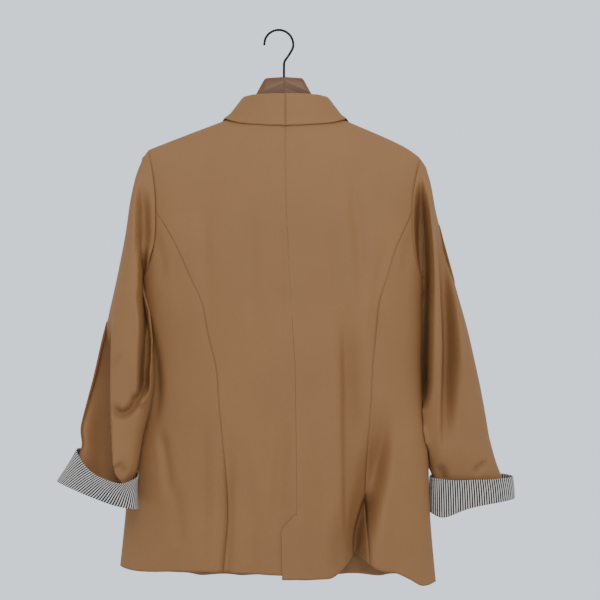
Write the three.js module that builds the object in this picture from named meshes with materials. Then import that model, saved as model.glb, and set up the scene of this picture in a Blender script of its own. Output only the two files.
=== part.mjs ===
// A long blazer with a shawl lapel, hanging on a plain wooden hanger.
// Millimetres, +Z up. +Y is the back of the garment, -Y its front, +X the wearer's left.
// The origin is where a rail carries the hook: the inner top of the crook.
//
// The body is one smooth surface, torsoPoint(turn, z). turn goes round it: 0 is the middle of the
// back, 1 the left side, 2 the middle of the front, and negative values go round by the right.
// Each cut piece is a patch of that surface between its seams, given the thickness of the cloth.
// The sleeves are rings that start at the armhole, and the collar follows the neck and front edge.
import * as THREE from "three";
import { mergeVertices } from "three/addons/utils/BufferGeometryUtils.js";

// ---- Driving dimensions ----

const CLOTH = 1.6; // body and sleeve cloth
const COLLAR_CLOTH = 2.0; // collar and lapel, faced
const CUFF_CLOTH = 2.0; // turned-back cuff, doubled
const SEAM_GAP = 0.3; // between two pieces at a seam
const COLLAR_SEAM_GAP = 0.6; // the collar leaves the neck at an angle
const VENT_GAP = 0.6; // between the vent's two layers
const LAPEL_GAP = 0.9; // under the collar's fall and the lapel
const SHOULDER_GAP = 4.4; // more of it where the collar bends over the shoulder line
const SHOULDER_GAP_WIDTH = 24;

const GARMENT_X = -10.5; // the garment's middle stands to one side of the hook's crook

const NECK_HALF_WIDTH = 80; // middle of the neck to the shoulder seam
const NECK_SIDE_Z = -133; // where the shoulder seam meets the neck
const NECK_DIP = 5; // the back neck seam is this much lower at the centre
const PRINCESS_TOP_Z = -283; // the back princess seam runs into the armhole here
const UNDERARM_Z = -386;
const SIDE_TURN = 1.08; // the side seam, just in front of the widest line
const BUTTON_Z = -556;
const BREAK_Z = -535; // the lapel's lower end
const FRONT_LAP = 20; // each front passes the middle by this much
const FRONT_LAP_TURN = 2.05; // the turn of that edge at the hem
const HEM_Z = -835; // about the hem's height
const VENT_TOP_Z = -742;
const VENT_LAP = 24;
const BODY_ROUND = 0.74; // exponent of the body's rounded oval
const SHOULDER_ROUND = 60; // how soon the cloth opens out below the shoulder line
const RIGHT_FRONT_LIFT = 5.4; // the right front lies over the left front and its lapel,
const LIFT_FROM_X = -75; // rising from here
const LIFT_WIDTH = 42; // over this width
const SLEEVE_ROUND_DOWN = 0.9; // exponents of the sleeve's rounded oval
const SLEEVE_ROUND_DEEP = 0.85;

const BUTTON_RADIUS = 11.5;
const BUTTON_BEVEL = 1;
const BUTTON_THICK = 4;

const HOOK_RADIUS = 22.5; // crook, to the middle of the wire
const WIRE_RADIUS = 1.85;
const HOOK_START = -0.25; // angle at which the stem runs into the crook
const HANGER_TOP_Z = -71;

// ---- Tables: one row per section, fold or station ----

// The body by height: half widths, half depths at the middle, how far each side falls to the
// front, and where the centre back seam runs.
const BODY = [
  { z: -880, left: 266, right: 237, back: 50, front: 49, sweepLeft: 26, sweepRight: 8, centre: -20 },
  { z: -835, left: 260, right: 232, back: 50, front: 49, sweepLeft: 25, sweepRight: 8, centre: -19 },
  { z: -755, left: 251, right: 225, back: 50, front: 49, sweepLeft: 20, sweepRight: 6, centre: -18 },
  { z: -705, left: 246, right: 223, back: 50, front: 49, sweepLeft: 16, sweepRight: 5, centre: -17.5 },
  { z: -650, left: 236, right: 221, back: 50, front: 49, sweepLeft: 12, sweepRight: 4, centre: -17 },
  { z: -592, left: 220, right: 213, back: 49, front: 48, sweepLeft: 8, sweepRight: 3, centre: -16 },
  { z: -520, left: 208, right: 210, back: 49, front: 48, sweepLeft: 5, sweepRight: 2, centre: -15 },
  { z: -470, left: 208, right: 211, back: 50, front: 48, sweepLeft: 3, sweepRight: 1, centre: -12 },
  { z: -417, left: 216, right: 211, back: 51, front: 49, sweepLeft: 0, sweepRight: 0, centre: -9 },
  { z: -386, left: 220, right: 212, back: 52, front: 50, sweepLeft: 0, sweepRight: 0, centre: -7 },
  { z: -283, left: 222, right: 214, back: 52, front: 50, sweepLeft: 0, sweepRight: 0, centre: -2 },
  { z: -187, left: 222, right: 214, back: 51, front: 49, sweepLeft: 0, sweepRight: 0, centre: 0 },
  { z: -90, left: 222, right: 214, back: 50, front: 48, sweepLeft: 0, sweepRight: 0, centre: 0 },
];

// The shoulder line, with its highest point inside the neck.
const SHOULDER = [
  { x: -230, z: -217 },
  { x: -209, z: -197 },
  { x: -190, z: -183 },
  { x: -165, z: -170 },
  { x: -80, z: -133 },
  { x: 0, z: -95 },
  { x: 80, z: -133 },
  { x: 150, z: -160 },
  { x: 213, z: -184.5 },
  { x: 230, z: -192 },
];

// Distance from the centre back seam to each princess seam.
const PRINCESS = [
  { z: -880, left: 116, right: 112 },
  { z: -834, left: 113, right: 110 },
  { z: -755, left: 106, right: 107 },
  { z: -700, left: 106, right: 107 },
  { z: -580, left: 116, right: 114 },
  { z: -520, left: 120, right: 118 },
  { z: -470, left: 129, right: 126 },
  { z: -420, left: 136, right: 134 },
  { z: -380, left: 152, right: 149 },
  { z: -340, left: 168, right: 164 },
  { z: -305, left: 186, right: 182 },
  { z: PRINCESS_TOP_Z, left: 200, right: 192.5 },
];

// The hem's height round the body.
const HEM = [
  { turn: -2.3, z: -852 },
  { turn: -2, z: -852 },
  { turn: -1.55, z: -851 },
  { turn: -1.32, z: -853 },
  { turn: -1.1, z: -856 },
  { turn: -1, z: -855 },
  { turn: -0.88, z: -853 },
  { turn: -0.66, z: -855 },
  { turn: -0.54, z: -843 },
  { turn: -0.44, z: -833 },
  { turn: -0.36, z: -829 },
  { turn: -0.28, z: -818 },
  { turn: -0.235, z: -813 },
  { turn: -0.19, z: -826 },
  { turn: -0.14, z: -839 },
  { turn: -0.1, z: -841 },
  { turn: -0.02, z: -840 },
  { turn: 0, z: -834 },
  { turn: 0.25, z: -830 },
  { turn: 0.6, z: -835 },
  { turn: 1, z: -833 },
  { turn: 1.3, z: -846 },
  { turn: 2, z: -854 },
  { turn: 2.3, z: -854 },
];

// The front edge, as x outward from the middle, negative once it has passed it.
const FRONT_EDGE = [
  { z: -880, x: -FRONT_LAP },
  { z: -560, x: -FRONT_LAP },
  { z: BREAK_Z, x: -18 },
  { z: -505, x: -6 },
  { z: -460, x: 9 },
  { z: -400, x: 26 },
  { z: -340, x: 41 },
  { z: -285, x: 53 },
  { z: -235, x: 64 },
  { z: -190, x: 73 },
  { z: -150, x: 79 },
  { z: NECK_SIDE_Z, x: NECK_HALF_WIDTH },
];

// Armholes: x at the shoulder tip and halfway down, and how late the curve turns to the side.
const ARMHOLES = {
  left: { tip: 213, back: 198, front: 190, late: 1.35 },
  right: { tip: 209, back: 194.5, front: 187, late: 1.35 },
};

// Largest folds, as soft troughs: x at the upper and lower end, the half width and the depth.
const FOLDS = [
  { face: 1, topZ: -560, topX: -137, bottomZ: -835, bottomX: -103, half: 17, depth: 27, runsOut: true },
  { face: 1, topZ: -430, topX: -77, bottomZ: -640, bottomX: -92, half: 15, depth: 8 },
  { face: 1, topZ: -560, topX: 3, bottomZ: -760, bottomX: 2, half: 11, depth: 6 },
  { face: 1, topZ: -640, topX: 88, bottomZ: -840, bottomX: 90, half: 16, depth: 10, runsOut: true },
  { face: 1, topZ: -560, topX: 176, bottomZ: -720, bottomX: 172, half: 15, depth: 11 },
  { face: 1, topZ: -205, topX: 124, bottomZ: -370, bottomX: 112, half: 19, depth: 5 },
  { face: 1, topZ: -205, topX: -110, bottomZ: -370, bottomX: -100, half: 18, depth: 5 },
  { face: -1, topZ: -470, topX: 116, bottomZ: -850, bottomX: 132, half: 22, depth: 15, runsOut: true },
  { face: -1, topZ: -520, topX: -122, bottomZ: -850, bottomX: -146, half: 24, depth: 16, runsOut: true },
  { face: -1, topZ: -600, topX: 62, bottomZ: -850, bottomX: 70, half: 17, depth: 9, runsOut: true },
  { face: -1, topZ: -610, topX: -76, bottomZ: -850, bottomX: -82, half: 15, depth: 8, runsOut: true },
  { face: -1, topZ: -250, topX: 168, bottomZ: -400, bottomX: 160, half: 16, depth: 6 },
  { face: -1, topZ: -250, topX: -162, bottomZ: -400, bottomX: -152, half: 16, depth: 6 },
];

// The collar by its run along the neck seam and front edge: from seam to roll (stand), the roll's
// radius, and the free edge as x outward and its drop below the shoulder line, front negative.
const COLLAR = [
  { run: 0, standX: 0, standY: -5, standZ: 35, roll: 3.2, edgeX: 0, drop: 58 },
  { run: 20, standX: -1, standY: -6, standZ: 35, roll: 3.2, edgeX: 22, drop: 51.5 },
  { run: 40, standX: -3, standY: -7, standZ: 34, roll: 3.0, edgeX: 45, drop: 37 },
  { run: 56, standX: -6, standY: -8, standZ: 33, roll: 2.8, edgeX: 65, drop: 22.5 },
  { run: 70, standX: -10, standY: -8, standZ: 31, roll: 2.6, edgeX: 81, drop: 10.5 },
  { run: 80, standX: -14, standY: -8, standZ: 30, roll: 2.5, edgeX: 92.5, drop: 1.5 },
  { run: 92, standX: -17, standY: -8, standZ: 27.5, roll: 2.4, edgeX: 103, drop: -6 },
  { run: 101, standX: -16, standY: -6.5, standZ: 26.5, roll: 2.3, edgeX: 111, drop: -13.5 },
  { run: 112, standX: -14, standY: -5, standZ: 25, roll: 2.2, edgeX: 118, drop: -24 },
  { run: 150, standX: -9, standY: -2, standZ: 15, roll: 1.8, edgeX: 129, drop: -59 },
  { run: 195, standX: -4, standY: -0.5, standZ: 4, roll: 1.35, edgeX: 138, drop: -98 },
  { run: 245, standX: -3.4, standY: 0, standZ: 0.9, roll: 1.3, edgeX: 133, drop: -150 },
  { run: 305, standX: -3.4, standY: 0, standZ: 0.8, roll: 1.3, edgeX: 119, drop: -215 },
  { run: 370, standX: -3.4, standY: 0, standZ: 0.9, roll: 1.3, edgeX: 95, drop: -290 },
  { run: 430, standX: -3.4, standY: 0, standZ: 1.0, roll: 1.3, edgeX: 62, drop: -368 },
  { run: 480, standX: -3.4, standY: 0, standZ: 1.2, roll: 1.3, edgeX: 22, drop: -416 },
  { run: 530, standX: -3.4, standY: 0, standZ: 1.2, roll: 1.3, edgeX: -9, drop: -436 },
];

// Sleeve rings down from the armhole: outer and inner points, half depth to the back and the
// front, y of the middle, how far the back side dips, and how much of the armhole's own shape
// is kept (hold: 1 all of it, 0 a plain oval). x is outward.
const SLEEVES = {
  left: [
    { outX: 221.5, outZ: -198, inX: 221, inZ: -389, back: 34, front: 34, y: 0, lean: 0, dip: 0, hold: 1 },
    { outX: 231.5, outZ: -224, inX: 217, inZ: -400, back: 43, front: 43, y: 0, lean: 4, dip: 0, hold: 0.5 },
    { outX: 239.5, outZ: -262, inX: 211, inZ: -424, back: 48, front: 46, y: 0, lean: 12, dip: 0, hold: 0.1 },
    { outX: 247, outZ: -315, inX: 207, inZ: -455, back: 51, front: 46, y: 0, lean: 18, dip: 0, hold: 0 },
    { outX: 258, outZ: -372, inX: 204, inZ: -482, back: 52, front: 46, y: 0, lean: 20, dip: 0, hold: 0 },
    { outX: 271, outZ: -430, inX: 202, inZ: -508, back: 52, front: 47, y: 0, lean: 20, dip: 0, hold: 0 },
    { outX: 283, outZ: -479, inX: 201, inZ: -532, back: 52, front: 48, y: 2, lean: 20, dip: 0, hold: 0 },
    { outX: 295, outZ: -533, inX: 203, inZ: -560, back: 51, front: 48, y: 4, lean: 18, dip: 0, hold: 0 },
    { outX: 305, outZ: -574, inX: 209, inZ: -590, back: 50, front: 47, y: 9, lean: 14, dip: 3, hold: 0 },
    { outX: 313, outZ: -612, inX: 218, inZ: -626, back: 46, front: 41, y: 18, lean: 8, dip: 9, hold: 0 },
    { outX: 309.5, outZ: -638, inX: 224, inZ: -666, back: 38, front: 33, y: 32, lean: 2, dip: 14, hold: 0 },
    { outX: 321, outZ: -667, inX: 229, inZ: -698, back: 29, front: 27, y: 39.5, lean: 0, dip: 8, hold: 0 },
    { outX: 341.5, outZ: -689.5, inX: 225, inZ: -731,
      back: 24.2, front: 24.2, y: 46, lean: 0, dip: 0, hold: 0 },
  ],
  right: [
    { outX: 218, outZ: -211, inX: 213, inZ: -389, back: 34, front: 34, y: 0, lean: 0, dip: 0, hold: 1 },
    { outX: 225.5, outZ: -238, inX: 209, inZ: -402, back: 43, front: 43, y: -1, lean: -6, dip: 0, hold: 0.5 },
    { outX: 232, outZ: -274, inX: 200, inZ: -430, back: 46, front: 48, y: -2, lean: -19, dip: 0, hold: 0.1 },
    { outX: 243, outZ: -320, inX: 193, inZ: -461, back: 47, front: 51, y: -3, lean: -28, dip: 0, hold: 0 },
    { outX: 256, outZ: -367, inX: 190, inZ: -488, back: 48, front: 52, y: -4, lean: -32, dip: 0, hold: 0 },
    { outX: 270, outZ: -417, inX: 189, inZ: -514, back: 48, front: 52, y: -5, lean: -33, dip: 0, hold: 0 },
    { outX: 283, outZ: -464, inX: 189, inZ: -538, back: 47, front: 52, y: -6, lean: -32, dip: 0, hold: 0 },
    { outX: 294, outZ: -511, inX: 191, inZ: -562, back: 46, front: 50, y: -8, lean: -27, dip: 0, hold: 0 },
    { outX: 303, outZ: -551, inX: 195, inZ: -592, back: 44, front: 47, y: -10, lean: -20, dip: 0, hold: 0 },
    { outX: 311, outZ: -592, inX: 201, inZ: -624, back: 42, front: 44, y: -12, lean: -13, dip: 0, hold: 0 },
    { outX: 319, outZ: -636, inX: 210, inZ: -656, back: 38, front: 40, y: -13, lean: -8, dip: 0, hold: 0 },
    { outX: 334, outZ: -684, inX: 229, inZ: -694, back: 29, front: 31, y: -14, lean: 0, dip: 0, hold: 0 },
    { outX: 355.5, outZ: -724, inX: 226, inZ: -744,
      back: 22.5, front: 22.5, y: -14, lean: 0, dip: 0, hold: 0 },
  ],
};

// Sleeve folds: place round the sleeve (0 outer, 0.25 back, 0.5 inner, 0.75 front), half width
// in the same measure, the rings it runs over, and its depth.
const SLEEVE_FOLDS = {
  left: [
    { round: 0.155, half: 0.045, from: 4.5, to: 11, depth: 9 },
    { round: 0.39, half: 0.04, from: 3, to: 8.5, depth: 9 },
    { round: 0.11, half: 0.05, from: 1.2, to: 4.5, depth: 4 },
    { round: 0.66, half: 0.05, from: 3, to: 9, depth: 7 },
    { round: 0.86, half: 0.05, from: 5, to: 11, depth: 6 },
  ],
  right: [
    { round: 0.35, half: 0.04, from: 2.5, to: 8, depth: 7 },
    { round: 0.15, half: 0.05, from: 6, to: 11, depth: 5 },
    { round: 0.64, half: 0.05, from: 3, to: 9, depth: 7 },
    { round: 0.85, half: 0.05, from: 4, to: 10, depth: 6 },
  ],
};

// Cuffs: turned back over the sleeve's end and standing off it at the top.
const CUFFS = {
  left: [
    { outX: 315.5, outZ: -643, inX: 220, inZ: -681, back: 46, front: 42, y: 34, lean: 14, dip: 22, hold: 0 },
    { outX: 328.5, outZ: -665, inX: 223, inZ: -702, back: 38, front: 35, y: 39, lean: 7, dip: 12, hold: 0 },
    { outX: 345, outZ: -690, inX: 222, inZ: -733, back: 27, front: 27, y: 46, lean: 0, dip: 0, hold: 0 },
  ],
  right: [
    { outX: 353, outZ: -691, inX: 223.5, inZ: -692, back: 38, front: 38, y: -14, lean: 0, dip: 2, hold: 0 },
    { outX: 356, outZ: -707, inX: 223.5, inZ: -716, back: 32, front: 32, y: -14, lean: 0, dip: 1, hold: 0 },
    { outX: 358, outZ: -726, inX: 223.5, inZ: -746, back: 25, front: 25, y: -14, lean: 0, dip: 0, hold: 0 },
  ],
};

// The hook's stem, up from the block to where the crook begins.
const HOOK_STEM = [
  { x: 2.3, z: HANGER_TOP_Z + SEAM_GAP },
  { x: 2.3, z: -56 },
  { x: 1.3, z: -47 },
  { x: -4.7, z: -38 },
];

// The hanger's block and its slopes inside the collar: top and bottom edge, half thickness.
const HANGER_BLOCK = [
  { x: -73, top: -134.5, bottom: -164, half: 9 },
  { x: -62, top: -127, bottom: -159, half: 9.5 },
  { x: -40, top: -97, bottom: -151, half: 10 },
  { x: -27, top: HANGER_TOP_Z - 2, bottom: -147, half: 10 },
  { x: 2.5, top: HANGER_TOP_Z, bottom: -144, half: 10 },
  { x: 32, top: HANGER_TOP_Z - 2, bottom: -147, half: 10 },
  { x: 45, top: -97, bottom: -151, half: 10 },
  { x: 63, top: -127, bottom: -159, half: 9.5 },
  { x: 73, top: -134.5, bottom: -164, half: 9 },
];

// The hanger's arms under the shoulders, by distance from the middle: how far the top edge lies
// under the cloth, the arm's depth and its half thickness.
const HANGER_ARM = [
  { reach: 86, under: 0.5, deep: 32, half: 10 },
  { reach: 110, under: 0.5, deep: 29, half: 10 },
  { reach: 140, under: 0.9, deep: 26, half: 9.5 },
  { reach: 165, under: 1.7, deep: 23, half: 8.5 },
  { reach: 180, under: 2.4, deep: 20, half: 7.5 },
  { reach: 192, under: 3.1, deep: 16, half: 6 },
  { reach: 202, under: 4.2, deep: 9, half: 4 },
];

// ---- Looks ----

const clothMaterial = new THREE.MeshStandardMaterial({ color: 0x9c7652, roughness: 0.85 });
const cuffMaterial = new THREE.MeshStandardMaterial({ color: 0x8a8785, roughness: 0.85 });
const woodMaterial = new THREE.MeshStandardMaterial({ color: 0x85694d, roughness: 0.5 });
const steelMaterial = new THREE.MeshStandardMaterial({ color: 0x1b1a1a, roughness: 0.35, metalness: 0.6 });
const buttonMaterial = new THREE.MeshStandardMaterial({ color: 0x3d2a1c, roughness: 0.4 });

// ---- Numbers from the tables ----

// The value of one column between rows that are sorted by another, as a smooth curve.
function column(rows, by, name) {
  const at = rows.map((row) => row[by]);
  const value = rows.map((row) => row[name]);
  const slope = value.map((_, i) => {
    const before = Math.max(i - 1, 0);
    const after = Math.min(i + 1, value.length - 1);
    return (value[after] - value[before]) / (at[after] - at[before]);
  });
  return (where) => {
    if (where <= at[0]) return value[0];
    if (where >= at[at.length - 1]) return value[value.length - 1];
    const i = at.findIndex((limit) => limit > where) - 1;
    const span = at[i + 1] - at[i];
    const t = (where - at[i]) / span;
    const keepStart = (1 + 2 * t) * (1 - t) ** 2;
    const keepEnd = t * t * (3 - 2 * t);
    const bend = t * (1 - t) * span * ((1 - t) * slope[i] - t * slope[i + 1]);
    return keepStart * value[i] + keepEnd * value[i + 1] + bend;
  };
}

// All columns of a table as functions.
function columns(rows, by) {
  const names = Object.keys(rows[0]).filter((name) => name !== by);
  return Object.fromEntries(names.map((name) => [name, column(rows, by, name)]));
}

const body = columns(BODY, "z");
const princess = columns(PRINCESS, "z");
const shoulderZ = column(SHOULDER, "x", "z");
const hemZ = column(HEM, "turn", "z");
const frontEdgeX = column(FRONT_EDGE, "z", "x");
const collar = columns(COLLAR, "run");

const signedPower = (value, power) => Math.sign(value) * Math.abs(value) ** power;
const mix = (a, b, t) => a + (b - a) * t;
const ease = (t) => {
  const held = Math.min(Math.max(t, 0), 1);
  return held * held * (3 - 2 * held);
};
const sideName = (side) => (side > 0 ? "left" : "right");

// ---- The body's surface ----

const FOLD_STARTS = 0.45; // share of a fold's length over which it deepens, and runs out
const FOLD_ENDS = 0.35;

// How far the folds press in at a place on the back (face 1) or the front (face -1).
function foldDepth(face, x, z) {
  let total = 0;
  for (const fold of FOLDS) {
    if (fold.face !== face) continue;
    const down = (fold.topZ - z) / (fold.topZ - fold.bottomZ);
    const rise = ease(down / FOLD_STARTS);
    const fall = fold.runsOut ? 1 : ease((1 - down) / FOLD_ENDS);
    const off = (x - mix(fold.topX, fold.bottomX, down)) / fold.half;
    total += fold.depth * rise * fall * Math.exp(-off * off);
  }
  return total;
}

// A point of the body, moved outward by lift.
function torsoPoint(turn, z, lift = 0) {
  const angle = (turn * Math.PI) / 2;
  const across = Math.sin(angle);
  const through = Math.cos(angle);
  const half = across >= 0 ? body.left(z) : body.right(z);
  const sweep = across >= 0 ? body.sweepLeft(z) : body.sweepRight(z);
  const depth = through >= 0 ? body.back(z) : body.front(z);
  const x = half * signedPower(across, BODY_ROUND);
  const open = Math.sqrt(1 - Math.exp(-Math.max(shoulderZ(x) - z, 0) / SHOULDER_ROUND));
  const outward = Math.abs(x) / half;
  const fold = foldDepth(Math.sign(through) || 1, x, z) * (1 - outward ** 6) * open;
  const flat = signedPower(through, BODY_ROUND) * depth * open;
  const y = flat - Math.sign(through) * fold - sweep * outward ** 2;
  const point = new THREE.Vector3(x, y, z);
  return lift ? point.addScaledVector(torsoNormal(turn, z), lift) : point;
}

// The outward direction of the body's surface. On the shoulder line it points up.
function torsoNormal(turn, z) {
  const step = 0.012;
  const drop = 1.5;
  const ridge = 0.5;
  const across = torsoPoint(turn + step, z).sub(torsoPoint(turn - step, z));
  const up = torsoPoint(turn, z).sub(torsoPoint(turn, z - drop));
  const normal = up.cross(across);
  if (shoulderZ(torsoPoint(turn, z).x) - z < ridge) normal.y = 0;
  return normal.normalize();
}

// The turn at which the body reaches x, on the back (face 1) or the front (face -1).
function turnAt(x, z, face) {
  const half = x >= 0 ? body.left(z) : body.right(z);
  const share = Math.min(Math.abs(x) / half, 1) ** (1 / BODY_ROUND);
  const turn = (Math.asin(share) * 2) / Math.PI;
  if (face > 0) return Math.sign(x) * turn;
  return x >= 0 ? 2 - turn : turn - 2;
}

// ---- Seams, as lists of places { turn, z } shared by the pieces on both sides ----

const BODY_ROWS = 18; // hem to the princess seam's end, and hem to underarm
const VENT_ROWS = 4;
const UPPER_ROWS = 8; // princess seam's end to the shoulder
const FRONT_LOW_ROWS = 5; // the front's armhole, below and above its widest point
const FRONT_HIGH_ROWS = 7;
const NECK_COLUMNS = 6;
const SHOULDER_COLUMNS = 6;
const SIDE_COLUMNS = 6;
const LAPEL_ROWS = 18; // break of the lapel to the neck

const steps = (count, place) => Array.from({ length: count + 1 }, (_, i) => place(i / count));
const joined = (first, second) => [...first, ...second.slice(1)];
const FINER_END = 1.6; // the steps get shorter towards the shoulder line
const NECK_FINER = 1.5;
const LAPEL_FINER = 1.8;

function backPlace(x, z) {
  return { turn: turnAt(x, z, 1), z };
}

function centreBackSeam() {
  const hem = hemZ(turnAt(body.centre(HEM_Z), HEM_Z, 1));
  const vent = steps(VENT_ROWS, (t) => mix(hem, VENT_TOP_Z, t));
  const low = steps(BODY_ROWS - VENT_ROWS, (t) => mix(VENT_TOP_Z, PRINCESS_TOP_Z, t));
  const high = steps(UPPER_ROWS, (t) => mix(NECK_SIDE_Z - NECK_DIP, PRINCESS_TOP_Z, (1 - t) ** FINER_END));
  return joined(joined(vent, low), high).map((z) => backPlace(body.centre(z), z));
}

function princessSeam(side) {
  const x = (z) => body.centre(z) + side * princess[sideName(side)](z);
  const hem = hemZ(turnAt(x(HEM_Z), HEM_Z, 1));
  return steps(BODY_ROWS, (t) => mix(hem, PRINCESS_TOP_Z, t)).map((z) => backPlace(x(z), z));
}

function sideSeam(side) {
  const turn = side * SIDE_TURN;
  return steps(BODY_ROWS, (t) => ({ turn, z: mix(hemZ(turn), UNDERARM_Z, t) }));
}

// x of the armhole above its widest point, on one face.
function armholeX(side, face, z) {
  const hole = ARMHOLES[sideName(side)];
  const middle = face > 0 ? hole.back : hole.front;
  const high = (z - PRINCESS_TOP_Z) / (shoulderZ(side * hole.tip) - PRINCESS_TOP_Z);
  return side * mix(middle, hole.tip, high * high);
}

// From the princess seam's end up to the shoulder tip.
function upperArmhole(side, face, rows) {
  const tipZ = shoulderZ(side * ARMHOLES[sideName(side)].tip);
  return steps(rows, (t) => {
    const z = mix(tipZ, PRINCESS_TOP_Z, (1 - t) ** FINER_END);
    return { turn: turnAt(armholeX(side, face, z), z, face), z };
  });
}

// From the princess seam's end round to the underarm, or the like on the front.
function lowerArmhole(side, face, rows) {
  const start = turnAt(armholeX(side, face, PRINCESS_TOP_Z), PRINCESS_TOP_Z, face);
  const late = ARMHOLES[sideName(side)].late;
  return steps(rows, (t) => {
    const angle = (t * Math.PI) / 2;
    return {
      turn: mix(start, side * SIDE_TURN, (1 - Math.cos(angle)) ** late),
      z: mix(PRINCESS_TOP_Z, UNDERARM_Z, Math.sin(angle)),
    };
  });
}

function neckSeam(side) {
  return steps(NECK_COLUMNS, (t) => {
    const share = 1 - (1 - t) ** NECK_FINER;
    const x = NECK_HALF_WIDTH * share;
    const z = NECK_SIDE_Z - NECK_DIP * (1 - share * share);
    return backPlace(side * x, z);
  });
}

function shoulderSeam(side, face) {
  const tip = ARMHOLES[sideName(side)].tip;
  return steps(SHOULDER_COLUMNS, (t) => {
    const x = side * mix(NECK_HALF_WIDTH, tip, t);
    return { turn: turnAt(x, shoulderZ(x), face), z: shoulderZ(x) };
  });
}

function frontPlace(side, z) {
  return { turn: frontTurn(side, side * frontEdgeX(z), z), z };
}

// The turn of a front's place, which goes on past the middle under or over the other front.
function frontTurn(side, x, z) {
  const turn = turnAt(x, z, -1);
  const passed = Math.sign(x) !== side && x !== 0;
  return passed ? turn + side * 4 : turn;
}

function frontEdge(side, lowRows) {
  const hem = hemZ(side * FRONT_LAP_TURN);
  const low = steps(lowRows, (t) => mix(hem, BREAK_Z, t));
  const high = steps(LAPEL_ROWS, (t) => mix(NECK_SIDE_Z, BREAK_Z, (1 - t) ** LAPEL_FINER));
  return joined(low, high).map((z) => frontPlace(side, z));
}

const hemLine = (from, to, count) =>
  steps(count, (t) => {
    const turn = mix(from.turn, to.turn, t);
    const bothEnds = mix(from.z - hemZ(from.turn), to.z - hemZ(to.turn), t);
    return { turn, z: hemZ(turn) + bothEnds };
  });

// ---- Walls of cloth ----

// Places inside four seams that meet at their ends: south and north run the same way, and so do
// west and east.
function patch(south, north, west, east) {
  const columnCount = south.length - 1;
  const rowCount = west.length - 1;
  const blend = (key, r, c) => {
    const u = c / columnCount;
    const v = r / rowCount;
    const ruled = mix(south[c][key], north[c][key], v) + mix(west[r][key], east[r][key], u);
    const low = mix(south[0][key], south[columnCount][key], u);
    const high = mix(north[0][key], north[columnCount][key], u);
    return ruled - mix(low, high, v);
  };
  return west.map((_, r) => south.map((__, c) => ({ turn: blend("turn", r, c), z: blend("z", r, c) })));
}

// Moves the border of a sheet of points in by half a seam's gap.
function trim(rows, { west = true, east = true, south = true, north = true } = {}) {
  const moved = rows.map((row) => row.map((vertex) => ({ ...vertex, point: vertex.point.clone() })));
  const pull = (vertex, towards) => towards.point.clone().sub(vertex.point).setLength(SEAM_GAP / 2);
  const last = rows.length - 1;
  const end = rows[0].length - 1;
  rows.forEach((row, r) => {
    if (west) moved[r][0].point.add(pull(row[0], row[1]));
    if (east) moved[r][end].point.add(pull(row[end], row[end - 1]));
  });
  rows[0].forEach((_, c) => {
    if (south) moved[0][c].point.add(pull(rows[0][c], rows[1][c]));
    if (north) moved[last][c].point.add(pull(rows[last][c], rows[last - 1][c]));
  });
  return moved;
}

// A closed wall from rows of vertices { point, normal }, whose points are its outer face.
// loop joins the last column to the first, and skip(r, c) leaves a cell out.
function wall(rows, thickness, { loop = false, skip = () => false } = {}) {
  const width = rows[0].length;
  const count = rows.length * width;
  const outer = rows.flat().map((vertex) => vertex.point);
  const inner = rows.flat().map((vertex) => vertex.point.clone().addScaledVector(vertex.normal, -thickness));
  const points = [...outer, ...inner];
  const faces = [];
  const edges = new Map();
  const addQuad = (a, b, c, d) => {
    const short = points[a].distanceTo(points[c]) <= points[b].distanceTo(points[d]);
    const pair = short ? [[a, b, c], [a, c, d]] : [[a, b, d], [b, c, d]];
    faces.push(...pair);
    return pair;
  };
  for (let r = 0; r < rows.length - 1; r++) {
    for (let c = 0; c < (loop ? width : width - 1); c++) {
      if (skip(r, c)) continue;
      const next = (c + 1) % width;
      const corners = [r * width + c, r * width + next, (r + 1) * width + next, (r + 1) * width + c];
      for (const [a, b, d] of addQuad(...corners)) faces.push([d + count, b + count, a + count]);
      corners.forEach((from, i) => {
        const to = corners[(i + 1) % 4];
        const back = `${to},${from}`;
        if (!edges.delete(back)) edges.set(`${from},${to}`, [from, to]);
      });
    }
  }
  for (const [from, to] of edges.values()) addQuad(to, from, from + count, to + count);
  return closedGeometry(points, faces);
}

// A geometry of faces that all point outward, whichever way round they were listed.
function closedGeometry(points, faces) {
  const cross = new THREE.Vector3();
  const volume = faces.reduce(
    (sum, [a, b, c]) => sum + points[a].dot(cross.crossVectors(points[b], points[c])), 0);
  const order = volume > 0 ? [0, 1, 2] : [0, 2, 1];
  const flat = faces.flatMap((face) => order.flatMap((i) => points[face[i]].toArray()));
  const geometry = new THREE.BufferGeometry();
  geometry.setAttribute("position", new THREE.Float32BufferAttribute(flat, 3));
  const merged = mergeVertices(geometry, 1e-4);
  merged.computeVertexNormals();
  return merged;
}

// ---- The body's pieces ----

const garment = new THREE.Group();
garment.position.x = GARMENT_X;

function add(name, geometry, material) {
  const mesh = new THREE.Mesh(geometry, material);
  mesh.name = name;
  garment.add(mesh);
  return mesh;
}

const vertexAt = ({ turn, z }, lift = 0) => ({
  point: torsoPoint(turn, z, lift),
  normal: torsoNormal(turn, z),
  turn,
  z,
});

const centreBack = centreBackSeam();

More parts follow.
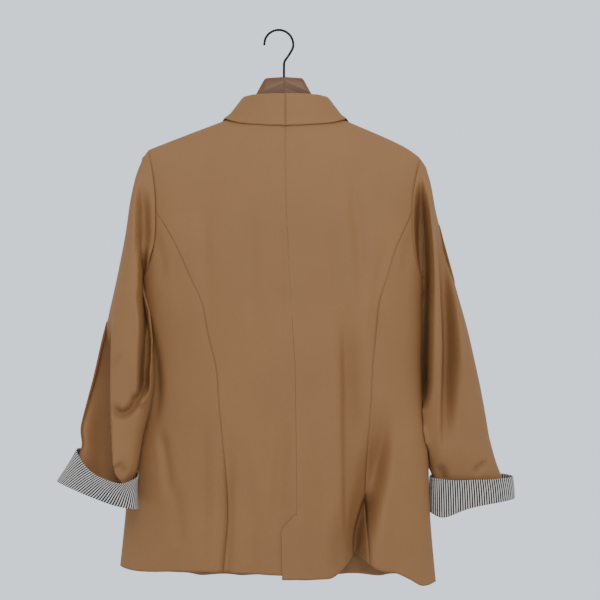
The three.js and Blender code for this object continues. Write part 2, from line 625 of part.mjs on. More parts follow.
// A centre back piece. The right one goes on past the seam below the vent's top, over the left.
function buildBack(side) {
  const upper = upperArmhole(side, 1, UPPER_ROWS);
  const seam = princessSeam(side);
  const outerEdge = joined(seam, upper);
  const top = joined(neckSeam(side), shoulderSeam(side, 1));
  const hem = hemLine(centreBack[0], seam[0], NECK_COLUMNS + SHOULDER_COLUMNS);
  const places = patch(hem, top, centreBack, outerEdge);
  if (side > 0) return wall(trim(places.map((row) => row.map((place) => vertexAt(place)))), CLOTH);

  const ventLift = CLOTH + VENT_GAP;
  const easedColumns = [1, 0.6, 0.2];
  const sheet = places.map((row, r) =>
    row.map((place, c) => vertexAt(place, r <= VENT_ROWS ? ventLift * (easedColumns[c] ?? 0) : 0)));
  const lapColumns = 3;
  const lap = places.map((row) =>
    steps(lapColumns, (t) => {
      const x = body.centre(row[0].z) + VENT_LAP * (1 - t);
      return vertexAt(backPlace(x, row[0].z), ventLift);
    }).slice(0, lapColumns));
  const trimmed = trim(sheet);
  const rows = trimmed.map((row, r) => [...lap[r], ...row]);
  return wall(rows, CLOTH, { skip: (r, c) => c < lapColumns && r >= VENT_ROWS });
}

function buildSideBack(side) {
  const inner = princessSeam(side);
  const outer = sideSeam(side);
  const top = lowerArmhole(side, 1, SIDE_COLUMNS);
  const places = patch(hemLine(inner[0], outer[0], SIDE_COLUMNS), top, inner, outer);
  return wall(trim(places.map((row) => row.map((place) => vertexAt(place)))), CLOTH);
}

// How far the right front stands out, so that it can lap over the left one.
const frontLift = (side, x) => (side > 0 ? 0 : RIGHT_FRONT_LIFT * ease((x - LIFT_FROM_X) / LIFT_WIDTH));

function frontVertex(side, place) {
  const x = torsoPoint(place.turn, place.z).x;
  return vertexAt(place, frontLift(side, x));
}

function frontArmhole(side) {
  const low = lowerArmhole(side, -1, FRONT_LOW_ROWS).reverse();
  const high = upperArmhole(side, -1, FRONT_HIGH_ROWS);
  return joined(low, high);
}

const CORNER_DROP = 4; // keeps the place beside the underarm below the armhole's own line

function buildFront(side) {
  const outer = joined(sideSeam(side), frontArmhole(side));
  const inner = frontEdge(side, outer.length - 1 - LAPEL_ROWS);
  const top = shoulderSeam(side, -1).reverse();
  const hem = hemLine(outer[0], inner[0], SHOULDER_COLUMNS);
  const finer = (line) => line.flatMap((place, i) => (i ? [midPlace(line[i - 1], place), place] : [place]));
  const places = patch(finer(hem), finer(top), outer, inner);
  places[BODY_ROWS][1].z -= CORNER_DROP;
  return wall(trim(places.map((row) => row.map((place) => frontVertex(side, place)))), CLOTH);
}

const midPlace = (a, b) => ({ turn: (a.turn + b.turn) / 2, z: (a.z + b.z) / 2 });

// ---- Collar and lapel, one strip on each side ----

const FALL_SHARES = [0.2, 0.45, 0.72, 1]; // from the roll to the free edge

const FARTHEST_SWEPT = 1.2; // beyond this share of the body's half width its sweep grows no more

// How far a point stands off the body, without its folds.
function standOff(point) {
  const half = point.x >= 0 ? body.left(point.z) : body.right(point.z);
  const depth = point.y >= 0 ? body.back(point.z) : body.front(point.z);
  const outward = Math.abs(point.x) / half;
  const side = point.x >= 0 ? body.sweepLeft(point.z) : body.sweepRight(point.z);
  const sweep = side * Math.min(outward, FARTHEST_SWEPT) ** 2;
  const open = 1 - Math.exp(-(shoulderZ(point.x) - point.z) / SHOULDER_ROUND);
  const round = signedPower(1 - outward ** (2 / BODY_ROUND), BODY_ROUND);
  return (point.y + sweep) ** 2 - depth ** 2 * open * round;
}

// Moves a point out until it stands clear of the body.
function clearOf(point, clear) {
  const step = 0.5;
  const moved = point.clone();
  for (let i = 0; i < 4; i++) {
    const value = standOff(moved);
    const slope = new THREE.Vector3(...["x", "y", "z"].map((axis) => {
      const ahead = moved.clone();
      ahead[axis] += step;
      return (standOff(ahead) - value) / step;
    }));
    const distance = value / slope.length();
    if (distance >= clear) return moved;
    moved.addScaledVector(slope.normalize(), clear - distance);
  }
  return moved;
}

// The body's point at x and z, on the face of the sign, moved out.
function layOn(side, x, z, face, lift) {
  const turn = face > 0 ? turnAt(x, z, 1) : frontTurn(side, x, z);
  return torsoPoint(turn, z, lift + (face < 0 ? frontLift(side, x) : 0));
}

function buildCollar(side) {
  const half = COLLAR_CLOTH / 2;
  const lapel = frontEdge(side, 1).slice(1).reverse();
  const seam = joined(neckSeam(side), lapel);
  const roots = seam.map((place, i) => {
    const x = torsoPoint(place.turn, place.z).x;
    const lift = i > NECK_COLUMNS ? frontLift(side, x) : 0;
    return torsoPoint(place.turn, place.z, lift - CLOTH / 2);
  });
  let run = 0;
  const sections = roots.map((root, i) => {
    if (i) run += root.distanceTo(roots[i - 1]);
    const before = roots[Math.max(i - 1, 0)];
    const along = roots[Math.min(i + 1, roots.length - 1)].clone().sub(before).normalize();
    if (i === 0) along.set(side, 0, 0);
    const stand = new THREE.Vector3(side * collar.standX(run), collar.standY(run), collar.standZ(run));
    const up = stand.clone().normalize();
    const out = up.clone().cross(along).multiplyScalar(side).normalize();
    const roll = collar.roll(run);
    const crest = root.clone().add(stand);
    const face = collar.drop(run) >= 0 ? 1 : -1;
    const edgeX = side * collar.edgeX(run);
    const edgeZ = shoulderZ(edgeX) - Math.abs(collar.drop(run));
    const clear = half + LAPEL_GAP;
    const edge = layOn(side, edgeX, edgeZ, face, clear);
    const start = root.clone().addScaledVector(up, COLLAR_SEAM_GAP);
    const below = crest.clone().addScaledVector(up, -roll);
    const top = crest.clone().addScaledVector(out, roll);
    const over = below.clone().addScaledVector(out, 2 * roll);
    const middle = start.clone().lerp(below, 0.5);
    const falls = FALL_SHARES.map((t) => {
      const point = over.clone().lerp(edge, t);
      const nearShoulder = SHOULDER_GAP * Math.exp(-((point.y / SHOULDER_GAP_WIDTH) ** 2));
      return clearOf(point, clear + nearShoulder + (point.y < 0 ? frontLift(side, point.x) : 0));
    });
    return [start, middle, below, top, over, ...falls];
  });
  const rows = outward(sections, half);
  return wall(trim(rows, { west: false, east: false, south: true, north: false }), COLLAR_CLOTH);
}

// Vertices whose normals come from the sheet's own neighbours, moved out to the outer face.
function outward(points, half, loop = false) {
  const width = points[0].length;
  return points.map((row, r) =>
    row.map((point, c) => {
      const left = row[loop ? (c + width - 1) % width : Math.max(c - 1, 0)];
      const right = row[loop ? (c + 1) % width : Math.min(c + 1, width - 1)];
      const low = points[Math.max(r - 1, 0)][c];
      const high = points[Math.min(r + 1, points.length - 1)][c];
      const normal = right.clone().sub(left).cross(high.clone().sub(low)).normalize();
      return { point: point.clone().addScaledVector(normal, half), normal };
    }));
}

// ---- Sleeves and cuffs ----

// The armhole as a closed loop from the shoulder tip down the back and up the front.
function armholeLoop(side) {
  const back = upperArmhole(side, 1, UPPER_ROWS).reverse();
  const under = lowerArmhole(side, 1, SIDE_COLUMNS);
  const front = frontArmhole(side);
  return joined(joined(back, under), front).slice(0, -1);
}

// Each loop vertex's share of the way round, its drop and its depth in the loop's own measure.
function loopShape(loop) {
  const points = loop.map(({ turn, z }) => torsoPoint(turn, z));
  const lengths = points.map((point, i) => point.distanceTo(points[(i + 1) % points.length]));
  const total = lengths.reduce((sum, length) => sum + length, 0);
  const top = points[0].z;
  const low = Math.min(...points.map((point) => point.z));
  const deep = Math.max(...points.map((point) => Math.abs(point.y)));
  let passed = 0;
  return points.map((point, i) => {
    const share = passed / total;
    passed += lengths[i];
    return { share, down: (top - point.z) / (top - low), deep: point.y / deep };
  });
}

function ringPoint(side, ring, { share, down, deep }, press = 0) {
  const angle = 2 * Math.PI * share;
  const roundDown = (1 - signedPower(Math.cos(angle), SLEEVE_ROUND_DOWN)) / 2;
  const roundDeep = signedPower(Math.sin(angle), SLEEVE_ROUND_DEEP);
  const drop = mix(roundDown, down, ring.hold);
  const depth = mix(roundDeep, deep, ring.hold);
  const reach = depth >= 0 ? ring.back : ring.front;
  const middleX = (ring.outX + ring.inX) / 2;
  const x = mix(ring.outX, ring.inX, drop);
  const shrink = 1 - press / Math.hypot(x - middleX, reach * depth);
  return new THREE.Vector3(
    side * (middleX + (x - middleX) * shrink),
    ring.y + reach * depth * shrink + ring.lean * Math.max(2 * drop - 1, 0) ** 2,
    mix(ring.outZ, ring.inZ, drop) - ring.dip * Math.max(depth, 0) ** 2,
  );
}

const SLEEVE_FOLD_STARTS = 0.3; // share of a fold's length over which it deepens, and runs out

// How far the folds press a place of a sleeve in, towards its middle.
function sleevePress(side, ringIndex, share) {
  let total = 0;
  for (const fold of SLEEVE_FOLDS[sideName(side)]) {
    const along = (ringIndex - fold.from) / (fold.to - fold.from);
    const rise = ease(along / SLEEVE_FOLD_STARTS) * ease((1 - along) / SLEEVE_FOLD_STARTS);
    const off = (share - fold.round) / fold.half;
    total += fold.depth * rise * Math.exp(-off * off);
  }
  return total;
}

// Closed rings as rows of vertices whose normals point away from the rings' middles.
function ringRows(rings) {
  const rows = outward(rings, 0, true);
  const across = rings[1][0].clone().sub(rings[1][Math.round(rings[1].length / 2)]);
  const sign = Math.sign(rows[1][0].normal.dot(across));
  return rows.map((row) => row.map(({ point, normal }) => ({ point, normal: normal.multiplyScalar(sign) })));
}

const SLEEVE_CLEAR = 4; // least distance of a sleeve's surface from the body's
const SLEEVE_CLEAR_FROM = 1; // ring from which the sleeve keeps it

const BACK_SEAM_SHARE = 2 / 3; // of the way down the lower armhole, where the sleeve's back seam starts
const FRONT_SEAM_SHARE = 0.4; // of the way up the armhole from the underarm at the front

// Cosine between the body's and the sleeve's normals at which the sleeve's edge starts to turn
// down, and at which it stands wholly on the body's rim.
const EDGE_TURN_FROM = 0.7;
const EDGE_TURN_FULL = 0.1;

// The sleeve's two pieces: the top sleeve round the outside and the under sleeve.
function buildSleeve(side) {
  const loop = armholeLoop(side);
  const shape = loopShape(loop);
  const edge = loop.map(({ turn, z }) => torsoPoint(turn, z));
  const start = loop.map(({ turn, z }, i) => {
    const normal = torsoNormal(turn, z);
    const along = edge[(i + 1) % edge.length].clone().sub(edge[(i + edge.length - 1) % edge.length]);
    const away = along.cross(normal).multiplyScalar(side).normalize();
    return { point: edge[i].clone().addScaledVector(away, SEAM_GAP / 2), normal, away };
  });
  const below = SLEEVES[sideName(side)].map((ring, j) =>
    shape.map((spot) => {
      const point = ringPoint(side, ring, spot, sleevePress(side, j + 1, spot.share));
      return j >= SLEEVE_CLEAR_FROM ? clearOf(point, SLEEVE_CLEAR) : point;
    }));
  const rings = ringRows([start.map(({ point }) => point), ...below]).slice(1);
  const first = start.map(({ point, normal, away }, i) => {
    const agree = normal.dot(rings[0][i].normal);
    const turned = ease((EDGE_TURN_FROM - agree) / (EDGE_TURN_FROM - EDGE_TURN_FULL));
    return { point, normal: normal.clone().lerp(away.clone().negate(), turned).normalize() };
  });
  const rows = [first, ...rings];
  const backSeam = UPPER_ROWS + Math.round(SIDE_COLUMNS * BACK_SEAM_SHARE);
  const frontSeam = UPPER_ROWS + SIDE_COLUMNS + Math.round(2 * FRONT_LOW_ROWS * FRONT_SEAM_SHARE);
  const under = rows.map((row) => row.slice(backSeam, frontSeam + 1));
  const top = rows.map((row) => [...row.slice(frontSeam), ...row.slice(0, backSeam + 1)]);
  const sides = { west: true, east: true, south: false, north: false };
  return { top: wall(trim(top, sides), CLOTH), under: wall(trim(under, sides), CLOTH) };
}

function buildCuff(side) {
  const spots = loopShape(armholeLoop(side));
  const rings = CUFFS[sideName(side)].map((ring) => spots.map((spot) => ringPoint(side, ring, spot)));
  return wall(ringRows(rings), CUFF_CLOTH, { loop: true });
}

for (const side of [1, -1]) {
  const name = sideName(side);
  add(`back_${name}`, buildBack(side), clothMaterial);
  add(`side_back_${name}`, buildSideBack(side), clothMaterial);
  add(`front_${name}`, buildFront(side), clothMaterial);
  add(`collar_${name}`, buildCollar(side), clothMaterial);
  const sleeve = buildSleeve(side);
  add(`top_sleeve_${name}`, sleeve.top, clothMaterial);
  add(`under_sleeve_${name}`, sleeve.under, clothMaterial);
  add(`cuff_${name}`, buildCuff(side), cuffMaterial);
}

// ---- Button ----

function buildButton() {
  const disc = new THREE.CylinderGeometry(BUTTON_RADIUS, BUTTON_RADIUS - BUTTON_BEVEL, BUTTON_THICK, 24);
  const cloth = torsoPoint(2, BUTTON_Z, frontLift(-1, 0));
  const mesh = add("button", disc, buttonMaterial);
  mesh.position.set(0, cloth.y - SEAM_GAP - BUTTON_THICK / 2, BUTTON_Z);
}

buildButton();

// ---- Hanger and hook ----

// The wooden hanger: rounded sections along both arms and the block between them.
function buildHangerWood() {
  const sides = 12;
  const arm = (side) => HANGER_ARM.map(({ reach, under, deep, half }) => {
    const top = shoulderZ(side * reach) - CLOTH - under;
    return { x: side * reach, top, bottom: top - deep, half };
  });
  const rows = [...arm(-1).reverse(), ...HANGER_BLOCK, ...arm(1)].map(({ x, top, bottom, half }) =>
    Array.from({ length: sides }, (_, i) => {
      const angle = (2 * Math.PI * i) / sides;
      const y = half * Math.sin(angle);
      const z = (top + bottom) / 2 + ((top - bottom) / 2) * Math.cos(angle);
      return new THREE.Vector3(x, y, z);
    }));
  const points = rows.flat();
  const faces = [];
  for (let r = 0; r < rows.length - 1; r++) {
    for (let i = 0; i < sides; i++) {
      const next = (i + 1) % sides;
      const [a, b] = [r * sides + i, r * sides + next];
      faces.push([a, b, b + sides], [a, b + sides, a + sides]);
    }
  }
  const end = (rows.length - 1) * sides;
  for (let i = 1; i < sides - 1; i++) {
    faces.push([0, i + 1, i], [end, end + i, end + i + 1]);
  }
  return closedGeometry(points, faces);
}

// The wire hook: a stem that bends aside and over in a half circle about the crook's middle.
function buildHook() {
  const crookX = -GARMENT_X;
  const crookZ = WIRE_RADIUS - HOOK_RADIUS;
  const arc = steps(8, (t) => {
    const angle = mix(HOOK_START, Math.PI, t);
    return { x: crookX - HOOK_RADIUS * Math.cos(angle), z: crookZ + HOOK_RADIUS * Math.sin(angle) };
  });
  const path = [...HOOK_STEM, ...arc].map(({ x, z }) => new THREE.Vector3(x, 0, z));
  const round = new THREE.Shape().absarc(0, 0, WIRE_RADIUS, 0, 2 * Math.PI, false);
  return new THREE.ExtrudeGeometry(round, {
    steps: 40,
    curveSegments: 5,
    bevelEnabled: false,
    extrudePath: new THREE.CatmullRomCurve3(path),
  });
}

add("hanger_wood", buildHangerWood(), woodMaterial);
add("hanger_hook", buildHook(), steelMaterial);

export default garment;
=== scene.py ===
import math

import bmesh
import bpy
import mathutils
import numpy as np
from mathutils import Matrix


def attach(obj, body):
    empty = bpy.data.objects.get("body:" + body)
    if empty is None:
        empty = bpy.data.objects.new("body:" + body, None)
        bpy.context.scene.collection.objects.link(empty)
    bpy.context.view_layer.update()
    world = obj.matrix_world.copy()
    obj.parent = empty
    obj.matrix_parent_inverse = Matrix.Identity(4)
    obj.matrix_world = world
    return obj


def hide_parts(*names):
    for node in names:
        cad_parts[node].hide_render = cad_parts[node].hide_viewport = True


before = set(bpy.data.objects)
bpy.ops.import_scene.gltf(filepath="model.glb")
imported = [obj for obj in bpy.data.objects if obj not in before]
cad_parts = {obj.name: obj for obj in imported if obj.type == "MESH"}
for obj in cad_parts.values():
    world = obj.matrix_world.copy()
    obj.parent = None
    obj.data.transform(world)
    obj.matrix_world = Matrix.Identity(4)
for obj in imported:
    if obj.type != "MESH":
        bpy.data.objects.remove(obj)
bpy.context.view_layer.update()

bl_info = {
    "name": "Blazer on a hanger",
    "version": (1, 0, 0),
    "blender": (4, 5, 0),
    "location": "View3D > Sidebar > Blazer",
    "description": "A long blazer with a shawl lapel, hung on a wooden hanger in a plain studio",
    "category": "Object",
}

# Tables and lengths are millimetres until a mesh is made. +Z is up, +Y the garment's back and +X
# the wearer's left. Every cloth piece is measured from the garment's middle, GARMENT_X.
MM = 0.001
GARMENT_X = -10.5
BACK, FRONT = 1, -1
SIDES = {"left": 1, "right": -1}

NECK_HALF_WIDTH = 80
NECK_SIDE_Z = -133
NECK_DIP = 5
PRINCESS_TOP_Z = -283
UNDERARM_Z = -386
SIDE_TURN = 1.08
BUTTON_Z = -556
BREAK_Z = -535
FRONT_LAP_TURN = 2.05
HEM_Z = -835
VENT_TOP_Z = -742
VENT_LAP = 24
VENT_LIFT = 2.2
BODY_ROUND = 0.74
SHOULDER_ROUND = 60
RIGHT_FRONT_LIFT = 5.4
LIFT_FROM_X = -75
LIFT_WIDTH = 42
SLEEVE_ROUND_DOWN = 0.9
SLEEVE_ROUND_DEEP = 0.85
CLOTH = 1.6
SEAM_GAP = 0.3
COLLAR_SEAM_GAP = 0.6
LAPEL_GAP = 0.9
SHOULDER_GAP = 1.4
SHOULDER_GAP_WIDTH = 24
WIRE_RADIUS = 1.85
HOOK_RADIUS = 22.5
HOOK_START = -0.25


# ---- Tables ----

def table(names, rows):
    """One array for each named column."""
    return dict(zip(names.split(), np.array(rows, float).T))


BODY = table("z left right back front sweep_left sweep_right centre", [
    (-880, 266, 237, 50, 49, 26, 8, -20),
    (-835, 260, 232, 50, 49, 25, 8, -19),
    (-755, 251, 225, 50, 49, 20, 6, -18),
    (-705, 246, 223, 50, 49, 16, 5, -17.5),
    (-650, 236, 221, 50, 49, 12, 4, -17),
    (-592, 220, 213, 49, 48, 8, 3, -16),
    (-520, 208, 210, 49, 48, 5, 2, -15),
    (-470, 208, 211, 50, 48, 3, 1, -12),
    (-417, 216, 211, 51, 49, 0, 0, -9),
    (-386, 220, 212, 52, 50, 0, 0, -7),
    (-283, 222, 214, 52, 50, 0, 0, -2),
    (-187, 222, 214, 51, 49, 0, 0, 0),
    (-90, 222, 214, 50, 48, 0, 0, 0),
])

SHOULDER = table("x z", [
    (-230, -217),
    (-209, -197),
    (-190, -183),
    (-165, -170),
    (-80, -133),
    (0, -95),
    (80, -133),
    (150, -160),
    (213, -184.5),
    (230, -192),
])

PRINCESS = table("z left right", [
    (-880, 116, 112),
    (-834, 113, 110),
    (-755, 106, 107),
    (-700, 106, 107),
    (-580, 116, 114),
    (-520, 120, 118),
    (-470, 129, 126),
    (-420, 136, 134),
    (-380, 152, 149),
    (-340, 168, 164),
    (-305, 186, 182),
    (-283, 200, 192.5),
])

HEM = table("turn z", [
    (-2.3, -852),
    (-2, -852),
    (-1.55, -851),
    (-1.32, -853),
    (-1.1, -856),
    (-1, -855),
    (-0.88, -853),
    (-0.66, -855),
    (-0.54, -843),
    (-0.44, -833),
    (-0.36, -829),
    (-0.28, -818),
    (-0.235, -813),
    (-0.19, -826),
    (-0.14, -839),
    (-0.1, -841),
    (-0.02, -840),
    (0, -834),
    (0.25, -830),
    (0.6, -835),
    (1, -833),
    (1.3, -846),
    (2, -854),
    (2.3, -854),
])

FRONT_EDGE = table("z x", [
    (-880, -20),
    (-560, -20),
    (-535, -18),
    (-505, -6),
    (-460, 9),
    (-400, 26),
    (-340, 41),
    (-285, 53),
    (-235, 64),
    (-190, 73),
    (-150, 79),
    (-133, 80),
])

COLLAR = table("run stand_x stand_y stand_z roll edge_x drop", [
    (0, 0, -5, 35, 3.2, 0, 58),
    (20, -1, -6, 35, 3.2, 22, 51.5),
    (40, -3, -7, 34, 3, 45, 37),
    (56, -6, -8, 33, 2.8, 65, 22.5),
    (70, -10, -8, 31, 2.6, 81, 10.5),
    (80, -14, -8, 30, 2.5, 92.5, 1.5),
    (92, -17, -8, 27.5, 2.4, 103, -6),
    (101, -16, -6.5, 26.5, 2.3, 111, -13.5),
    (112, -14, -5, 25, 2.2, 118, -24),
    (150, -9, -2, 15, 1.8, 129, -59),
    (195, -4, -0.5, 4, 1.35, 138, -98),
    (245, -3.4, 0, 0.9, 1.3, 133, -150),
    (305, -3.4, 0, 0.8, 1.3, 119, -215),
    (370, -3.4, 0, 0.9, 1.3, 95, -290),
    (430, -3.4, 0, 1, 1.3, 62, -368),
    (480, -3.4, 0, 1.2, 1.3, 22, -416),
    (530, -3.4, 0, 1.2, 1.3, -9, -436),
])

HANGER_BLOCK = table("x top bottom half", [
    (-73, -134.5, -164, 9),
    (-62, -127, -159, 9.5),
    (-40, -97, -151, 10),
    (-27, -73, -147, 10),
    (2.5, -71, -144, 10),
    (32, -73, -147, 10),
    (45, -97, -151, 10),
    (63, -127, -159, 9.5),
    (73, -134.5, -164, 9),
])

HANGER_ARM = table("reach under deep half", [
    (86, 0.5, 32, 10),
    (110, 0.5, 29, 10),
    (140, 0.9, 26, 9.5),
    (165, 1.7, 23, 8.5),
    (180, 2.4, 20, 7.5),
    (192, 3.1, 16, 6),
    (202, 4.2, 9, 4),
])

HOOK_STEM = table("x z", [
    (2.3, -70.7),
    (2.3, -56),
    (1.3, -47),
    (-4.7, -38),
])

SLEEVES_COLUMNS = "place out_x out_z in_x in_z back front y lean dip hold"
SLEEVES = {
    "left": table(SLEEVES_COLUMNS, [
        (1, 221.5, -198, 221, -389, 34, 34, 0, 0, 0, 1),
        (2, 231.5, -224, 217, -400, 43, 43, 0, 4, 0, 0.5),
        (3, 239.5, -262, 211, -424, 48, 46, 0, 12, 0, 0.1),
        (4, 247, -315, 207, -455, 51, 46, 0, 18, 0, 0),
        (5, 258, -372, 204, -482, 52, 46, 0, 20, 0, 0),
        (6, 271, -430, 202, -508, 52, 47, 0, 20, 0, 0),
        (7, 283, -479, 201, -532, 52, 48, 2, 20, 0, 0),
        (8, 295, -533, 203, -560, 51, 48, 4, 18, 0, 0),
        (9, 305, -574, 209, -590, 50, 47, 9, 14, 3, 0),
        (10, 313, -612, 218, -626, 46, 41, 18, 8, 9, 0),
        (11, 309.5, -638, 224, -666, 38, 33, 32, 2, 14, 0),
        (12, 321, -667, 229, -698, 29, 27, 39.5, 0, 8, 0),
        (13, 341.5, -689.5, 225, -731, 24.2, 24.2, 46, 0, 0, 0),
    ]),
    "right": table(SLEEVES_COLUMNS, [
        (1, 218, -211, 213, -389, 34, 34, 0, 0, 0, 1),
        (2, 225.5, -238, 209, -402, 43, 43, -1, -6, 0, 0.5),
        (3, 232, -274, 200, -430, 46, 48, -2, -19, 0, 0.1),
        (4, 243, -320, 193, -461, 47, 51, -3, -28, 0, 0),
        (5, 256, -367, 190, -488, 48, 52, -4, -32, 0, 0),
        (6, 270, -417, 189, -514, 48, 52, -5, -33, 0, 0),
        (7, 283, -464, 189, -538, 47, 52, -6, -32, 0, 0),
        (8, 294, -511, 191, -562, 46, 50, -8, -27, 0, 0),
        (9, 303, -551, 195, -592, 44, 47, -10, -20, 0, 0),
        (10, 311, -592, 201, -624, 42, 44, -12, -13, 0, 0),
        (11, 319, -636, 210, -656, 38, 40, -13, -8, 0, 0),
        (12, 334, -684, 229, -694, 29, 31, -14, 0, 0, 0),
        (13, 355.5, -724, 226, -744, 22.5, 22.5, -14, 0, 0, 0),
    ]),
}

CUFFS = {
    "left": table(SLEEVES_COLUMNS, [
        (1, 315.5, -643, 220, -681, 46, 42, 34, 14, 22, 0),
        (2, 328.5, -665, 223, -702, 38, 35, 39, 7, 12, 0),
        (3, 345, -690, 222, -733, 27, 27, 46, 0, 0, 0),
    ]),
    "right": table(SLEEVES_COLUMNS, [
        (1, 353, -691, 223.5, -692, 38, 38, -14, 0, 2, 0),
        (2, 356, -707, 223.5, -716, 32, 32, -14, 0, 1, 0),
        (3, 358, -726, 223.5, -746, 25, 25, -14, 0, 0, 0),
    ]),
}

# How high and far out each armhole reaches, and how late its lower half turns in.
ARMHOLES = {
    "left": {"tip": 213, "back": 198, "front": 190, "late": 1.35},
    "right": {"tip": 209, "back": 194.5, "front": 187, "late": 1.35},
}


# ---- Objects ----

def placed(name, data):
    """A new object that is in the scene."""
    piece = bpy.data.objects.new(name, data)
    bpy.context.scene.collection.objects.link(piece)
    return piece


def from_garment(points):
    """Places from the garment's middle in millimetres, as metres from the hook."""
    return np.asarray(points) * MM + np.array([GARMENT_X * MM, 0, 0])


# ---- Numbers ----

def curve(rows, by, name):
    """One column of a table as a smooth function of another."""
    at, value = rows[by], rows[name]
    last = len(at) - 1
    before = np.maximum(np.arange(last + 1) - 1, 0)
    after = np.minimum(np.arange(last + 1) + 1, last)
    slope = (value[after] - value[before]) / (at[after] - at[before])

    def read(where):
        where = np.clip(where, at[0], at[-1])
        i = np.clip(np.searchsorted(at, where, side="right") - 1, 0, last - 1)
        span = at[i + 1] - at[i]
        t = (where - at[i]) / span
        ends = (1 + 2 * t) * (1 - t) ** 2 * value[i] + t * t * (3 - 2 * t) * value[i + 1]
        return ends + t * (1 - t) * span * ((1 - t) * slope[i] - t * slope[i + 1])

    return read


def curves(rows, by):
    """Every other column of a table as a smooth function."""
    return {name: curve(rows, by, name) for name in rows if name != by}


def mix(a, b, t):
    return a + (b - a) * t


def ease(t):
    held = np.clip(t, 0, 1)
    return held * held * (3 - 2 * held)


def signed_power(value, power):
    return np.sign(value) * np.abs(value) ** power


def unit(vectors):
    length = np.linalg.norm(vectors, axis=-1, keepdims=True)
    return vectors / np.maximum(length, 1e-9)


def passed_along(points):
    """Length passed along a line at each of its points."""
    return np.concatenate([[0], np.cumsum(np.linalg.norm(np.diff(points, axis=0), axis=1))])


def through_points(points, count):
    """A smooth line through the points along axis 0, with count points for each span."""
    points = np.asarray(points, float)
    ends = np.concatenate([2 * points[:1] - points[1:2], points, 2 * points[-1:] - points[-2:-1]])
    found = []
    for i in range(1, len(points)):
        a, b, c, d = ends[i - 1:i + 3]
        for t in np.arange(count) / count:
            found.append(0.5 * (2 * b + (c - a) * t + (2 * a - 5 * b + 4 * c - d) * t ** 2
                                + (3 * b - a - 3 * c + d) * t ** 3))
    return np.array(found + [points[-1]])


body = curves(BODY, "z")
princess = curves(PRINCESS, "z")
shoulder_z = curve(SHOULDER, "x", "z")
hem_z = curve(HEM, "turn", "z")
front_edge_x = curve(FRONT_EDGE, "z", "x")
collar = curves(COLLAR, "run")
collar_length = COLLAR["run"][-1]


# ---- Creases ----

CREASE_SPAN = 5  # places for each span of a crease's path


class Crease:
    """A soft trough along a path of (x, z) places, seen from outside. Its left and right are half
    widths towards +X and -X of a path that runs down, and a side that is narrow for the depth
    is crisp. A negative depth makes a ridge."""

    def __init__(self, path, left, right, depth, start=0.3, end=0.3):
        line = through_points(path, CREASE_SPAN)
        self.low, self.way = line[:-1], np.diff(line, axis=0)
        self.lengths = np.linalg.norm(self.way, axis=1)
        self.passed = np.concatenate([[0], np.cumsum(self.lengths)[:-1]])
        self.left, self.right, self.depth, self.start, self.end = left, right, depth, start, end
        reach = 2.5 * max(left, right)
        self.box = line.min(0) - reach, line.max(0) + reach

    def press(self, x, z):
        found = np.zeros(np.shape(x))
        (x0, z0), (x1, z1) = self.box
        near = (x > x0) & (x < x1) & (z > z0) & (z < z1)
        if not near.any():
            return found
        place = np.stack([x[near], z[near]], axis=-1)[:, None]
        t = ((place - self.low) * self.way).sum(-1) / self.lengths ** 2
        off = place - (self.low + np.clip(t, 0, 1)[..., None] * self.way)
        k = np.argmin((off ** 2).sum(-1), axis=1)
        row = np.arange(len(k))
        off, way = off[row, k], self.way[k]
        leftward = way[:, 0] * off[:, 1] - way[:, 1] * off[:, 0]
        half = np.where(leftward > 0, self.left, self.right)
        share = (self.passed[k] + np.clip(t[row, k], 0, 1) * self.lengths[k]) / self.lengths.sum()
        rise = ease(share / self.start) if self.start else 1
        fall = ease((1 - share) / self.end) if self.end else 1
        crisp = np.where(half < abs(self.depth) / 4, 2, 1)
        found[near] = self.depth * rise * fall * np.exp(-((off ** 2).sum(-1) / half ** 2) ** crisp)
        return found


def press_of(creases, x, z):
    return sum((crease.press(x, z) for crease in creases), np.zeros(np.shape(x)))


def unevenness(x, z):
    """Slight waves that hanging cloth keeps everywhere, longer down than across."""
    slow = np.sin(x / 17 + 1.3 * np.sin(z / 83)) * np.sin(z / 61 + 0.8 * np.sin(x / 29))
    quick = np.sin(x / 7.3 + 2.1 * np.sin(z / 47) + 1) * np.sin(z / 31 + x / 53)
    return 0.45 * slow + 0.16 * quick


# ---- The body's surface ----

EDGE_SMOOTH = 14  # the higher, the nearer to the body's sides its creases reach


def body_width(x, z):
    """Half width of the body on the side of x."""
    return np.where(x >= 0, body["left"](z), body["right"](z))


def body_sweep(x, z):
    return np.where(x >= 0, body["sweep_left"](z), body["sweep_right"](z))


def body_form(turn, z):
    """x, and y before creases and sweep, of the body by turn and height, and its opened share."""
    angle = turn * np.pi / 2
    across, through = np.sin(angle), np.cos(angle)
    x = body_width(across, z) * signed_power(across, BODY_ROUND)
    depth = np.where(through >= 0, body["back"](z), body["front"](z))
    opened = np.sqrt(1 - np.exp(-np.maximum(shoulder_z(x) - z, 0) / SHOULDER_ROUND))
    return x, signed_power(through, BODY_ROUND) * depth * opened, opened, through, across


def body_point(turn, z):
    """Points of the body by turn (0 middle of the back, 1 left side, 2 middle of the front)."""
    x, y, opened, through, across = body_form(turn, z)
    face = np.where(through >= 0, BACK, FRONT)
    outward = np.abs(x) / body_width(across, z)
    pressed = np.where(face > 0, press_of(BACK_CREASES, x, z), press_of(FRONT_CREASES, x, z))
    fold = (pressed + unevenness(x, z)) * (1 - outward ** EDGE_SMOOTH) * opened
    y = y - face * fold - body_sweep(across, z) * outward ** 2
    return np.stack([x, y, z + 0 * x], axis=-1)


def smooth_body_point(turn, z):
    """The body's surface without creases, which the collar lies over."""
    x, y = body_form(turn, z)[:2]
    return np.stack([x, y, z + 0 * x], axis=-1)


